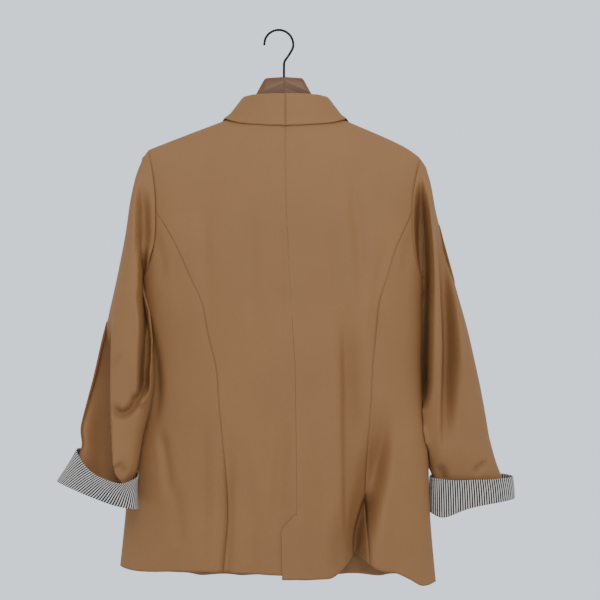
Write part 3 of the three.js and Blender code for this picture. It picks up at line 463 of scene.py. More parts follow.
def turn_at(x, z, face):
    share = np.minimum(np.abs(x) / body_width(x, z), 1) ** (1 / BODY_ROUND)
    turn = np.arcsin(share) * 2 / np.pi
    if face == BACK:
        return np.sign(x) * turn
    return np.where(x >= 0, 2 - turn, turn - 2)


def front_turn(side, x, z):
    """The turn on the front, which goes on past the middle where a front laps over."""
    turn = turn_at(x, z, FRONT)
    return np.where((np.sign(x) == -side), turn + side * 4, turn)


def front_lift(side, x):
    return 0 * x if side > 0 else RIGHT_FRONT_LIFT * ease((x - LIFT_FROM_X) / LIFT_WIDTH)


# ---- Seams, as rows of (turn, z) that the pieces on both sides share ----

DOWN = 6  # mesh rows and columns for each of the construction's
ACROSS = 8
BODY_ROWS, VENT_ROWS, UPPER_ROWS = 18 * DOWN, 4 * DOWN, 8 * DOWN
LOW_ROWS, HIGH_ROWS, LAPEL_ROWS = 5 * DOWN, 7 * DOWN, 18 * DOWN
NECK_COLUMNS = SHOULDER_COLUMNS = SIDE_COLUMNS = 6 * ACROSS
SLEEVE_SPAN = 8  # sleeve columns for each of the construction's
ARMHOLE_SPANS = 8, 6, 5, 7  # of the back's high and low part, and the front's low and high part
SLEEVE_SEAMS = 12 * SLEEVE_SPAN, 18 * SLEEVE_SPAN  # columns of the back seam and the front seam
FINER_END, NECK_FINER, LAPEL_FINER = 1.6, 1.5, 1.8


def steps(count):
    return np.arange(count + 1) / count


def joined(first, second):
    return np.concatenate([first, second[1:]])


def places(turn, z):
    return np.stack([turn + 0 * z, z + 0 * turn], axis=-1)


def centre_back_seam():
    hem = hem_z(turn_at(body["centre"](HEM_Z), HEM_Z, BACK))
    vent = mix(hem, VENT_TOP_Z, steps(VENT_ROWS))
    low = mix(VENT_TOP_Z, PRINCESS_TOP_Z, steps(BODY_ROWS - VENT_ROWS))
    high = mix(NECK_SIDE_Z - NECK_DIP, PRINCESS_TOP_Z, (1 - steps(UPPER_ROWS)) ** FINER_END)
    z = joined(joined(vent, low), high)
    return places(turn_at(body["centre"](z), z, BACK), z)


def princess_seam(name):
    def x(z):
        return body["centre"](z) + SIDES[name] * princess[name](z)

    hem = hem_z(turn_at(x(HEM_Z), HEM_Z, BACK))
    z = mix(hem, PRINCESS_TOP_Z, steps(BODY_ROWS))
    return places(turn_at(x(z), z, BACK), z)


def side_seam(name):
    turn = SIDES[name] * SIDE_TURN
    return places(turn, mix(hem_z(turn), UNDERARM_Z, steps(BODY_ROWS)))


def armhole_x(name, face, z):
    hole = ARMHOLES[name]
    middle = hole["back"] if face == BACK else hole["front"]
    high = (z - PRINCESS_TOP_Z) / (shoulder_z(SIDES[name] * hole["tip"]) - PRINCESS_TOP_Z)
    return SIDES[name] * mix(middle, hole["tip"], high * high)


def upper_armhole(name, face, rows):
    tip_z = shoulder_z(SIDES[name] * ARMHOLES[name]["tip"])
    z = mix(tip_z, PRINCESS_TOP_Z, (1 - steps(rows)) ** FINER_END)
    return places(turn_at(armhole_x(name, face, z), z, face), z)


def lower_armhole(name, face, rows):
    start = turn_at(armhole_x(name, face, PRINCESS_TOP_Z), PRINCESS_TOP_Z, face)
    angle = steps(rows) * np.pi / 2
    turn = mix(start, SIDES[name] * SIDE_TURN, (1 - np.cos(angle)) ** ARMHOLES[name]["late"])
    return places(turn, mix(PRINCESS_TOP_Z, UNDERARM_Z, np.sin(angle)))


def neck_seam(side, columns):
    share = 1 - (1 - steps(columns)) ** NECK_FINER
    x = side * NECK_HALF_WIDTH * share
    z = NECK_SIDE_Z - NECK_DIP * (1 - share * share)
    return places(turn_at(x, z, BACK), z)


def shoulder_seam(name, face):
    x = SIDES[name] * mix(NECK_HALF_WIDTH, ARMHOLES[name]["tip"], steps(SHOULDER_COLUMNS))
    z = shoulder_z(x)
    return places(turn_at(x, z, face), z)


def front_edge(side, low_rows, lapel_rows):
    low = mix(hem_z(side * FRONT_LAP_TURN), BREAK_Z, steps(low_rows))
    high = mix(NECK_SIDE_Z, BREAK_Z, (1 - steps(lapel_rows)) ** LAPEL_FINER)
    z = joined(low, high)
    return places(front_turn(side, side * front_edge_x(z), z), z)


def front_armhole(name):
    low = lower_armhole(name, FRONT, LOW_ROWS)[::-1]
    return joined(low, upper_armhole(name, FRONT, HIGH_ROWS))


def hem_line(start, end, t):
    turn = mix(start[0], end[0], t)
    ends = mix(start[1] - hem_z(start[0]), end[1] - hem_z(end[0]), t)
    return places(turn, hem_z(turn) + ends)


def shares(line, axis):
    """How far along a seam each of its places lies, by turn (0) or by height (1)."""
    return (line[:, axis] - line[0, axis]) / (line[-1, axis] - line[0, axis])


def patch(south, north, west, east):
    """Places inside four seams. South and north run the same way, and so do west and east."""
    u = (shares(south, 0) + shares(north, 0))[None, :, None] / 2
    v = (shares(west, 1) + shares(east, 1))[:, None, None] / 2
    ruled = mix(south[None], north[None], v) + mix(west[:, None], east[:, None], u)
    return ruled - mix(mix(south[0], south[-1], u), mix(north[0], north[-1], u), v)


# ---- Walls of cloth ----

def normals_of(points, loop=False):
    """Unit normals of a grid of points, from its own neighbours."""
    if loop:
        across = np.roll(points, -1, axis=1) - np.roll(points, 1, axis=1)
    else:
        across = np.gradient(points, axis=1)
    return unit(np.cross(across, np.gradient(points, axis=0)))


def facing(normals, points, middles):
    """The same normals, turned to point away from the middles."""
    away = ((points - middles) * normals).sum(-1)
    return normals * np.sign(away.sum())


def border_distance(points, edge):
    """Distance of each point from one border of the grid, along the grid."""
    axis = 1 if edge in ("west", "east") else 0
    gaps = np.linalg.norm(np.diff(points, axis=axis), axis=-1)
    zero = np.zeros_like(np.take(gaps, [0], axis=axis))
    if edge in ("west", "south"):
        return np.concatenate([zero, np.cumsum(gaps, axis=axis)], axis=axis)
    back = np.flip(np.cumsum(np.flip(gaps, axis), axis=axis), axis)
    return np.concatenate([back, zero], axis=axis)


def turned_in(points, normals, edges, deep=0.07, width=1.0):
    """Points whose borders turn in at the seams, as pressed seam allowances pull them."""
    moved = points.copy()
    for edge in edges:
        distance = border_distance(points, edge)
        moved -= normals * (deep * np.exp(-(distance / width) ** 2))[..., None]
    return moved


def grid_faces(rows, columns, kept):
    r, c = np.meshgrid(np.arange(rows - 1), np.arange(columns - 1), indexing="ij")
    if kept is not None:
        r, c = r[kept], c[kept]
    r, c = r.ravel(), c.ravel()
    first = r * columns + c
    return np.stack([first, first + 1, first + columns + 1, first + columns], axis=1)


def border_edges(faces):
    """Directed edges that belong to one face only."""
    edges = np.concatenate([faces[:, [i, (i + 1) % 4]] for i in range(4)])
    count = faces.max() + 1
    key, back = edges[:, 0] * count + edges[:, 1], edges[:, 1] * count + edges[:, 0]
    return edges[~np.isin(key, back)]


RIM_IN, RIM_THIN = 0.1, 0.05  # how a wall's border rounds over, as shares of its thickness


def wall(name, points, normals, thickness, uv, kept=None, trim=0.02):
    """A closed piece of cloth between the points and the same points moved in, with a rounded
    border that stands back by trim."""
    rows, columns = points.shape[:2]
    faces = grid_faces(rows, columns, kept)
    outer, away = points.reshape(-1, 3).copy(), normals.reshape(-1, 3)
    edges = border_edges(faces)
    rim = np.unique(edges)
    middle, touching = np.zeros_like(outer), np.zeros(len(outer))
    for corner in faces.T:
        np.add.at(middle, corner, outer[faces].mean(axis=1))
        np.add.at(touching, corner, 1)
    inward = unit(middle[rim] / touching[rim][:, None] - outer[rim])
    outer[rim] += inward * trim
    half = outer[rim] - away[rim] * thickness / 2
    inner = outer - away * thickness
    outer[rim] += inward * thickness * RIM_IN - away[rim] * thickness * RIM_THIN
    inner[rim] += inward * thickness * RIM_IN + away[rim] * thickness * RIM_THIN
    count = len(outer)
    seat = np.zeros(count, int)
    seat[rim] = 2 * count + np.arange(len(rim))
    a, b = edges.T
    outer_rim = np.stack([b, a, seat[a], seat[b]], axis=1)
    inner_rim = np.stack([seat[b], seat[a], a + count, b + count], axis=1)
    everything = np.concatenate([faces, faces[:, ::-1] + count, outer_rim, inner_rim])
    vertices = np.concatenate([outer, inner, half])
    flat = uv.reshape(-1, 2)
    return cloth_object(name, vertices, everything, np.concatenate([flat, flat, flat[rim]]))


def cloth_object(name, vertices, faces, uv):
    """A smooth mesh from millimetres, with faces outward, its spare vertices left out and its
    cloth coordinates in metres."""
    used, faces = np.unique(faces, return_inverse=True)
    faces = faces.reshape(-1, 4)
    vertices = from_garment(vertices[used])
    a, b, c, d = (vertices[faces[:, i]] for i in range(4))
    volume = (a * (np.cross(b, c) + np.cross(c, d))).sum()
    if volume < 0:
        faces = faces[:, ::-1]
    mesh = bpy.data.meshes.new(name)
    mesh.from_pydata(vertices.tolist(), [], faces.tolist())
    layer = mesh.uv_layers.new(name="Cloth")
    corner = np.zeros(len(mesh.loops), int)
    mesh.loops.foreach_get("vertex_index", corner)
    layer.data.foreach_set("uv", (uv[used] * MM)[corner].astype(np.float32).ravel())
    mesh.polygons.foreach_set("use_smooth", [True] * len(mesh.polygons))
    mesh.update()
    return placed(name, mesh)


def grain(points):
    """Cloth coordinates of a grid, in millimetres along and across the grain."""
    across = border_distance(points, "west")
    middle = np.take(across, [across.shape[1] // 2], axis=1)
    return np.stack([across - middle, points[..., 2]], axis=-1)


def cut_size(points):
    """Width, length and area of the flat cut of a grid of points, in metres."""
    width = border_distance(points, "west")[:, -1].max() * MM
    length = border_distance(points, "south")[-1].max() * MM
    a, b, c, d = points[:-1, :-1], points[:-1, 1:], points[1:, 1:], points[1:, :-1]
    cells = np.linalg.norm(np.cross(c - a, d - b), axis=-1) / 2
    return width, length, cells.sum() * MM * MM


def dress(piece, node, material, points):
    """Hands a finished piece of cloth to the frame in place of its construction node."""
    piece.data.materials.append(material)
    width, length, area = cut_size(points)
    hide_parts(node)
    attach(piece, "root")


# Creases of the back: the deep fold right of the middle first, then the softer ones.
BACK_CREASES = [
    Crease([(-152, -560), (-148, -620), (-141, -665), (-130, -715), (-116, -765), (-108, -795),
            (-107, -850)], 30, 14, 42, 0.45, 0),
    Crease([(-131, -705), (-118, -750), (-110, -785), (-108, -850)], 4, 15, 30, 0.35, 0),
    Crease([(-90, -440), (-91, -560), (-92, -690), (-95, -800)], 5, 24, 8, 0.3, 0.2),
    Crease([(-108, -670), (-98, -735), (-94, -788), (-91, -848)], 9, 9, -5, 0.5, 0),
    Crease([(-88, -400), (-92, -485), (-97, -560), (-100, -640), (-103, -720)], 12, 20, 8, 0.35, 0.4),
    Crease([(2, -550), (6, -636), (9, -689), (11, -740), (12, -800)], 11, 13, 6, 0.4, 0.4),
    Crease([(87, -600), (86, -689), (88, -750), (91, -840)], 11, 10, 8, 0.5, 0),
    Crease([(118, -560), (123, -629), (123, -720), (120, -830)], 11, 9, 4, 0.4, 0.2),
    Crease([(60, -600), (57, -690), (52, -780), (49, -846)], 12, 12, 3, 0.4, 0),
    Crease([(192, -605), (186, -644), (180, -682), (177, -727)], 6, 8, 6),
    Crease([(172, -680), (165, -735), (160, -800)], 9, 10, 4, 0.4, 0.2),
    Crease([(226, -415), (212, -455), (201, -500), (197, -540), (197, -575), (203, -615)],
           24, 7, 17, 0.2, 0.35),
    Crease([(124, -245), (121, -341), (120, -417), (116, -500)], 12, 11, 3, 0.4, 0.4),
    Crease([(52, -235), (50, -326), (50, -402), (47, -500)], 11, 10, 2.4, 0.4, 0.4),
    Crease([(12, -240), (8, -341), (6, -417), (2, -520)], 8, 8, 1.6, 0.4, 0.4),
    Crease([(-100, -195), (-105, -266), (-110, -326), (-115, -395), (-117, -455)], 8, 14, 5, 0.35, 0.4),
    Crease([(-73, -300), (-77, -372), (-80, -445)], 9, 8, 2.2, 0.4, 0.4),
    Crease([(-30, -165), (-30, -250), (-33, -340)], 9, 9, 1.3, 0.4, 0.4),
    Crease([(-158, -315), (-148, -356), (-141, -402), (-138, -470), (-137, -545)], 8, 8, 3, 0.3, 0.4),
    Crease([(34, -550), (35, -629), (38, -715)], 12, 12, 2.4, 0.4, 0.4),
    Crease([(-35, -600), (-44, -700), (-47, -780), (-50, -846)], 14, 12, 3.5, 0.4, 0),
    Crease([(-172, -560), (-176, -650), (-171, -730)], 12, 14, 3.5, 0.4, 0.4),
    Crease([(-158, -690), (-166, -770), (-172, -852)], 12, 12, 4, 0.5, 0),
    Crease([(-196, -300), (-186, -345), (-180, -400)], 7, 9, 2, 0.3, 0.5),
    Crease([(205, -292), (190, -350), (181, -410)], 9, 8, 2.4, 0.3, 0.5),
]

# The hidden front hangs in the same kinds of folds.
FRONT_CREASES = [
    Crease([(116, -450), (121, -560), (128, -700), (134, -860)], 14, 22, 15, 0.4, 0),
    Crease([(-122, -500), (-130, -620), (-140, -740), (-148, -875)], 22, 13, 16, 0.4, 0),
    Crease([(62, -590), (65, -700), (71, -860)], 14, 16, 8, 0.5, 0),
    Crease([(-74, -600), (-78, -720), (-84, -875)], 14, 12, 7, 0.5, 0),
    Crease([(188, -540), (196, -640), (205, -780)], 12, 10, 6, 0.4, 0.3),
    Crease([(-180, -520), (-186, -640), (-190, -760)], 10, 13, 7, 0.4, 0.3),
    Crease([(168, -240), (164, -320), (158, -410)], 12, 14, 5, 0.4, 0.5),
    Crease([(-162, -250), (-158, -330), (-150, -420)], 14, 12, 5, 0.4, 0.5),
    Crease([(190, -400), (150, -470), (95, -520), (45, -548)], 11, 10, 5, 0.3, 0.3),
    Crease([(-185, -400), (-150, -465), (-95, -515), (-40, -545)], 10, 11, 5, 0.3, 0.3),
    Crease([(170, -460), (130, -530), (80, -580)], 9, 9, 3, 0.4, 0.4),
    Crease([(-165, -450), (-120, -530), (-75, -575)], 9, 9, 3.5, 0.4, 0.4),
    Crease([(30, -620), (26, -740), (22, -860)], 12, 11, 3, 0.5, 0),
]

SLEEVE_CREASES = {
    ("left", BACK): [
        Crease([(220.5, -235), (217.5, -275), (216.5, -315), (221.5, -364)], 8, 11, 12, 0.4, 0.4),
        Crease([(216.5, -330), (215.5, -400), (213.5, -450), (215.5, -500), (216.5, -545),
                (220.5, -572)], 5, 9, 62, 0.3, 0.12),
        Crease([(214.5, -395), (210.5, -430), (204.5, -475)], 9, 12, 44, 0.3, 0.4),
        Crease([(221.5, -556), (229.5, -577), (242.5, -588), (253.5, -584), (257.5, -568)],
               6, 6, 16, 0.15, 0.4),
        Crease([(197.5, -330), (209.5, -356), (220.5, -388)], 5, 5, -16, 0.3, 0.3),
        Crease([(198.5, -360), (209.5, -379), (218.5, -396)], 4, 4, -12, 0.3, 0.3),
        Crease([(206.5, -385), (213.5, -399), (219.5, -413)], 3, 3, -9),
        Crease([(208.5, -506), (211.5, -540), (213.5, -566), (218.5, -584)], 5, 6, -15, 0.3, 0.3),
        Crease([(267.5, -430), (272, -488), (272.5, -540), (271, -600), (268, -640), (264, -678),
                (248.5, -704)], 30, 6, 90, 0.4, 0.04),
        Crease([(255.5, -662), (246.5, -672), (234.5, -678)], 8, 10, 6, 0.3, 0.4),
        Crease([(245.5, -499), (255.5, -511), (264.5, -525)], 4, 3, 2.6),
        Crease([(310.5, -560), (316.5, -610), (316.5, -645)], 8, 7, 4, 0.4, 0.3),
    ],
    ("right", BACK): [
        Crease([(-199.5, -215), (-205.5, -257), (-210.5, -294), (-214.5, -345), (-215.5, -400),
                (-214.5, -450), (-213.5, -510), (-212.5, -550), (-207.5, -590)], 16, 8, 90, 0.35, 0.12),
        Crease([(-229.5, -257), (-235.5, -318), (-241.5, -365), (-245.5, -432), (-247.5, -490),
                (-246.5, -550), (-245.5, -610), (-246.5, -665)], 7, 14, 46, 0.4, 0.35),
        Crease([(-203.5, -640), (-209.5, -662), (-217.5, -684)], 12, 8, 18, 0.4, 0.2),
        Crease([(-235.5, -668), (-241.5, -684), (-245.5, -700)], 7, 7, 8, 0.4, 0.2),
        Crease([(-287.5, -684), (-299.5, -674), (-311.5, -664)], 5, 4, 6, 0.3, 0.4),
        Crease([(-261.5, -480), (-272.5, -568), (-276.5, -655)], 10, 12, 4, 0.4, 0.3),
        Crease([(-205.5, -600), (-211.5, -628), (-215.5, -650)], 7, 7, -8, 0.4, 0.3),
    ],
    ("left", FRONT): [
        Crease([(232, -300), (228, -400), (226, -500), (231, -590)], 7, 12, 20),
        Crease([(262, -400), (272, -500), (282, -580), (290, -660)], 14, 6, 20),
        Crease([(250, -560), (252, -600), (240, -630)], 6, 6, 7),
    ],
    ("right", FRONT): [
        Crease([(-230, -300), (-232, -400), (-230, -520), (-234, -600)], 12, 7, 20),
        Crease([(-262, -400), (-274, -500), (-284, -590), (-294, -670)], 6, 14, 20),
        Crease([(-250, -540), (-256, -590), (-246, -630)], 6, 6, 7),
    ],
}


# ---- Cloth pieces ----

def body_wall(name, spots, edges, thickness, lift=0.0):
    """A piece of the body's surface from its places, moved out by lift."""
    surface = body_point(spots[..., 0], spots[..., 1])
    normals = facing(normals_of(surface), surface, surface * [0, 0, 1])
    lifted = surface + normals * np.broadcast_to(lift, surface.shape[:2])[..., None]
    points = turned_in(lifted, normals, edges)
    return wall(name, points, normals, thickness, grain(surface)), surface


def make_back(name, thickness):
    upper = upper_armhole(name, BACK, UPPER_ROWS)
    seam = princess_seam(name)
    centre = centre_back_seam()
    top = joined(neck_seam(SIDES[name], NECK_COLUMNS), shoulder_seam(name, BACK))
    hem = hem_line(centre[0], seam[0], shares(top, 0))
    spots = patch(hem, top, centre, joined(seam, upper))
    if name == "left":
        return body_wall("back_left_cloth", spots, ("west", "east", "north"), thickness)
    return make_back_with_vent(spots, thickness)


LAP_COLUMNS = 3 * ACROSS
LAP_WIDENS = 8, 34  # how far above the vent's top its lap starts, and over what height it widens
LAP_RISES = 16, 30  # the same for its lift off the left back


def below_vent(z, above, height):
    return ease((VENT_TOP_Z + above - z) / height)


def make_back_with_vent(spots, thickness):
    """The right back, which goes on past the seam below the vent's top and lies on the left one."""
    z = spots[:, 0, 1]
    wide = VENT_LAP * below_vent(z, *LAP_WIDENS)
    across = (1 - steps(LAP_COLUMNS)[:-1])[None]
    lap_z = z[:, None] + 0 * across
    lap_x = body["centre"](lap_z) + wide[:, None] * across
    lap = places(turn_at(lap_x, lap_z, BACK), lap_z)
    sheet = np.concatenate([lap, spots], axis=1)
    rows, columns = sheet.shape[:2]
    low = below_vent(sheet[..., 1], *LAP_RISES)
    beyond = np.clip(np.arange(columns) - LAP_COLUMNS, 0, None) / LAP_COLUMNS
    lift = VENT_LIFT * low * (1 - ease(beyond))
    kept = np.ones((rows - 1, columns - 1), bool)
    kept[VENT_ROWS:, :LAP_COLUMNS] = False
    main = np.s_[:, LAP_COLUMNS:]
    surface = body_point(sheet[..., 0], sheet[..., 1])
    normals = facing(normals_of(surface[main]), surface[main], surface[main] * [0, 0, 1])
    normals = np.concatenate([np.repeat(normals[:, :1], LAP_COLUMNS, axis=1), normals], axis=1)
    points = surface + normals * lift[..., None]
    seamed = turned_in(points[main], normals[main], ("west", "east", "north"))
    above = (1 - low[main])[..., None]
    points[main] = mix(points[main], seamed, above)
    eastern = turned_in(points[main], normals[main], ("east",))
    points[main] = mix(eastern, points[main], above)
    piece = wall("back_right_cloth", points, normals, thickness, grain(surface), kept=kept)
    return piece, surface[main]


def make_side_back(name, thickness):
    inner, outer = princess_seam(name), side_seam(name)
    top = lower_armhole(name, BACK, SIDE_COLUMNS)
    spots = patch(hem_line(inner[0], outer[0], steps(SIDE_COLUMNS)), top, inner, outer)
    return body_wall(f"side_back_{name}_cloth", spots, ("west", "east", "north"), thickness)


def make_front(name, thickness):
    side = SIDES[name]
    outer = joined(side_seam(name), front_armhole(name))
    inner = front_edge(side, len(outer) - 1 - LAPEL_ROWS, LAPEL_ROWS)
    top = shoulder_seam(name, FRONT)[::-1]
    hem = hem_line(outer[0], inner[0], steps(SHOULDER_COLUMNS))
    spots = patch(finer(hem), finer(top), outer, inner)
    x = body_point(spots[..., 0], spots[..., 1])[..., 0]
    lift = front_lift(side, x)
    return body_wall(f"front_{name}_cloth", spots, ("west", "north"), thickness, lift)


def finer(line):
    """The line with a place added in the middle of each span."""
    found = np.repeat(line, 2, axis=0)[:-1]
    found[1::2] = (line[:-1] + line[1:]) / 2
    return found


FARTHEST_SWEPT = 1.2  # beyond this share of the body's half width its sweep grows no more
CLEAR_STEP = 0.5  # for the slope of the field, in millimetres
CLEAR_ROUNDS = 4


def stand_off(point):
    """How far points stand off the body without its creases, as a field that is 0 on it."""
    x, y, z = np.moveaxis(point, -1, 0)
    outward = np.abs(x) / body_width(x, z)
    depth = np.where(y >= 0, body["back"](z), body["front"](z))
    room = 1 - outward ** (2 / BODY_ROUND)
    opened = 1 - np.exp(-(shoulder_z(x) - z) / SHOULDER_ROUND)
    sweep = body_sweep(x, z) * np.minimum(outward, FARTHEST_SWEPT) ** 2
    return (y + sweep) ** 2 - depth ** 2 * opened * signed_power(room, BODY_ROUND)


def clear_of_body(point, clear):
    """Points moved out until they stand clear of the body."""
    for _ in range(CLEAR_ROUNDS):
        value = stand_off(point)
        ahead = [stand_off(point + CLEAR_STEP * way) - value for way in np.eye(3)]
        slope = np.stack(ahead, axis=-1) / CLEAR_STEP
        length = np.linalg.norm(slope, axis=-1)
        short = np.maximum(clear - value / np.maximum(length, 1e-6), 0)
        point = point + unit(slope) * short[..., None]
    return point


FALL_SHARES = (0.2, 0.45, 0.72, 1)
COLLAR_NECK, COLLAR_LAPEL = 26, 110
COLLAR_SPAN = 5
BESIDE_TURN, BESIDE_Z = 0.01, -1.5  # steps along the body to find its normals


def collar_sections(name, thickness):
    """The collar's middle surface: one section for each station along the neck and front edge."""
    side = SIDES[name]
    lapel = front_edge(side, 1, COLLAR_LAPEL)[1:][::-1]
    seam = joined(neck_seam(side, COLLAR_NECK), lapel)
    smooth_body = smooth_body_point(seam[:, 0], seam[:, 1])
    on_front = np.arange(len(seam)) > COLLAR_NECK
    ahead = smooth_body_point(seam[:, 0] + BESIDE_TURN, seam[:, 1]) - smooth_body
    below = smooth_body_point(seam[:, 0], seam[:, 1] + BESIDE_Z) - smooth_body
    away = unit(np.cross(ahead, below))
    away *= np.sign((away * (smooth_body * [0, 1, 0])).sum(-1))[:, None]
    lift = np.where(on_front, front_lift(side, smooth_body[:, 0]), 0) - thickness / 2
    root = smooth_body + away * lift[:, None]
    run = passed_along(root)
    run *= collar_length / max(run[-1], collar_length)
    stand = np.stack([side * collar["stand_x"](run), collar["stand_y"](run), collar["stand_z"](run)], axis=-1)
    up = unit(stand)
    along = unit(np.gradient(root, axis=0))
    along[0] = (side, 0, 0)
    out = unit(np.cross(up, along) * side)
    roll = collar["roll"](run)[:, None]
    crest = root + stand
    drop = collar["drop"](run)
    edge_x = side * collar["edge_x"](run)
    edge_z = shoulder_z(edge_x) - np.abs(drop)
    clear = thickness / 2 + LAPEL_GAP
    turn = np.where(drop >= 0, turn_at(edge_x, edge_z, BACK), front_turn(side, edge_x, edge_z))
    edge = smooth_body_point(turn, edge_z)
    low = crest - up * roll
    over = low + out * 2 * roll
    start = root + up * COLLAR_SEAM_GAP
    falls = []
    for share in FALL_SHARES:
        point = mix(over, edge, share)
        near = SHOULDER_GAP * np.exp(-((point[:, 1] / SHOULDER_GAP_WIDTH) ** 2))
        lifted = np.where(point[:, 1] < 0, front_lift(side, point[:, 0]), 0)
        falls.append(clear_of_body(point, clear + near + lifted))
    return np.stack([start, mix(start, low, 0.5), low, crest + out * roll, over, *falls])


def make_collar(name, thickness):
    middle = through_points(collar_sections(name, thickness), COLLAR_SPAN)
    points = np.moveaxis(middle, 0, 1)
    normals = normals_of(points)
    outer = points + normals * thickness / 2
    uv = np.stack([border_distance(points, "south"), border_distance(points, "west")], axis=-1)
    return wall(f"collar_{name}_cloth", outer, normals, thickness, uv), points


def armhole_loop(name):
    """The armhole as a closed loop from the shoulder tip down the back and up the front."""
    back_high, back_low, front_low, front_high = (count * SLEEVE_SPAN for count in ARMHOLE_SPANS)
    back = upper_armhole(name, BACK, back_high)[::-1]
    under = lower_armhole(name, BACK, back_low)
    low = lower_armhole(name, FRONT, front_low)[::-1]
    front = joined(low, upper_armhole(name, FRONT, front_high))
    return joined(joined(back, under), front)[:-1]


def loop_shape(points):
    """Each loop point's share of the way round, its drop and its depth in the loop's measure."""
    lengths = np.linalg.norm(np.roll(points, -1, axis=0) - points, axis=1)
    share = np.concatenate([[0], np.cumsum(lengths)[:-1]]) / lengths.sum()
    down = (points[0, 2] - points[:, 2]) / (points[0, 2] - points[:, 2].min())
    return share, down, points[:, 1] / np.abs(points[:, 1]).max()


def ring_points(name, rings, place, share, down, deep):
    """Rows of points round a sleeve or cuff at the given places along its table of rings. The
    depth of each, from -1 at the front to 1 at the back, and the room between both faces."""
    ring = {column: curve(rings, "place", column)(place)[:, None] for column in rings if column != "place"}
    angle = 2 * np.pi * share[None]
    drop = mix((1 - signed_power(np.cos(angle), SLEEVE_ROUND_DOWN)) / 2, down[None], ring["hold"])
    depth = mix(signed_power(np.sin(angle), SLEEVE_ROUND_DEEP), deep[None], ring["hold"])
    reach = np.where(depth >= 0, ring["back"], ring["front"])
    x = mix(ring["out_x"], ring["in_x"], drop)
    y = ring["y"] + reach * depth + ring["lean"] * np.clip(2 * drop - 1, 0, 1) ** 2
    z = mix(ring["out_z"], ring["in_z"], drop) - ring["dip"] * np.maximum(depth, 0) ** 2
    room = (ring["back"] + ring["front"]) * np.abs(depth)
    return np.stack([SIDES[name] * x, y, z], axis=-1), depth, room


def held(push, limit):
    """The push, levelling off towards the limit."""
    return limit * np.tanh(push / limit)


FACE_APART = 5  # the least distance kept between a sleeve's folded back and its front
LEAST_FREE = 0.01
WHERE_THIN, WIDE_ROOM = 0.05, 42  # share of the folds where a sleeve is thin, and room for all of it
BACK_HOLD, FRONT_HOLD = 0.84, 0.24  # share of the free room that the folds of each face may take
SLIGHT, SLIGHT_ROOM = 1.4, 20  # of the cloth's unevenness, and free room for all of it


def folded(name, rows, depth, room):
    """How far the sleeve's folds push each of its points towards its middle."""
    x, z = rows[..., 0], rows[..., 2]
    share = WHERE_THIN + (1 - WHERE_THIN) * ease(room / WIDE_ROOM)
    free = np.maximum(room - FACE_APART, LEAST_FREE) * share
    back = held(press_of(SLEEVE_CREASES[name, BACK], x, z), BACK_HOLD * free)
    front = held(press_of(SLEEVE_CREASES[name, FRONT], x, z), FRONT_HOLD * free)
    slight = SLIGHT * unevenness(x, z) * np.minimum(free / SLIGHT_ROOM, 1)
    return np.where(depth >= 0, back + slight, -front - slight)


SLEEVE_ROWS = 170
BODY_CLEAR = 1.2  # least distance of a sleeve's surface from the body's
# In rings down from the armhole: where the folds are full, and where the sleeve starts to keep
# clear of the body and over how far it comes to.
FOLDS_FULL, CLEAR_FROM, CLEAR_OVER = 0.7, 0.5, 0.8
ARMHOLE_TURN = 1.0, 2.4  # how deep and wide the armhole's seam pulls the sleeve in


def make_sleeve(name, thickness):
    """The sleeve's two pieces: the top sleeve round the outside and the under sleeve."""
    loop = armhole_loop(name)
    edge = body_point(loop[:, 0], loop[:, 1])
    place = np.linspace(0, SLEEVES[name]["place"][-1], SLEEVE_ROWS + 1)
    rows, depth, room = ring_points(name, SLEEVES[name], np.maximum(place, 1), *loop_shape(edge))
    near = place[:, None, None]
    rows = mix(edge[None], rows, np.clip(near, 0, 1))
    rows[..., 1] -= folded(name, rows, depth, room) * ease(near[..., 0] / FOLDS_FULL)
    rows = mix(rows, clear_of_body(rows, BODY_CLEAR), ease((near - CLEAR_FROM) / CLEAR_OVER))
    normals = facing(normals_of(rows, loop=True), rows, rows.mean(axis=1, keepdims=True))
    back_seam, front_seam = SLEEVE_SEAMS
    turns = {
        f"under_sleeve_{name}": np.arange(back_seam, front_seam + 1),
        f"top_sleeve_{name}": np.arange(front_seam, back_seam + 1 + len(loop)) % len(loop),
    }
    made = {}
    for node, columns in turns.items():
        points, away = rows[:, columns], normals[:, columns]
        seamed = turned_in(points, away, ("west", "east"))
        seamed = turned_in(seamed, away, ("south",), *ARMHOLE_TURN)
        made[node] = wall(f"{node}_cloth", seamed, away, thickness, grain_round(points)), points
    return made


def grain_round(points):
    """Cloth coordinates of a tube: one width for all rows, so that the grain stays straight."""
    across = border_distance(points, "west").mean(axis=0, keepdims=True)
    down = border_distance(points, "south").mean(axis=1, keepdims=True)
    return np.stack([across + 0 * down, down + 0 * across], axis=-1)


CUFF_ROWS, CUFF_COLUMNS = 22, 160
CUFF_WAVES = (1.2, 3, 1), (0.7, 7, 0)  # height, number round the cuff, and start of each
CUFF_SAG = {  # the free edge hangs lower by this much, round this share, over this width
    "left": (3, 0.3, 0.1),
    "right": (11, 0.36, 0.075),
}
CUFF_TWIST = {"left": 0.045, "right": 0.006}  # share of the way round that it turns by its free edge


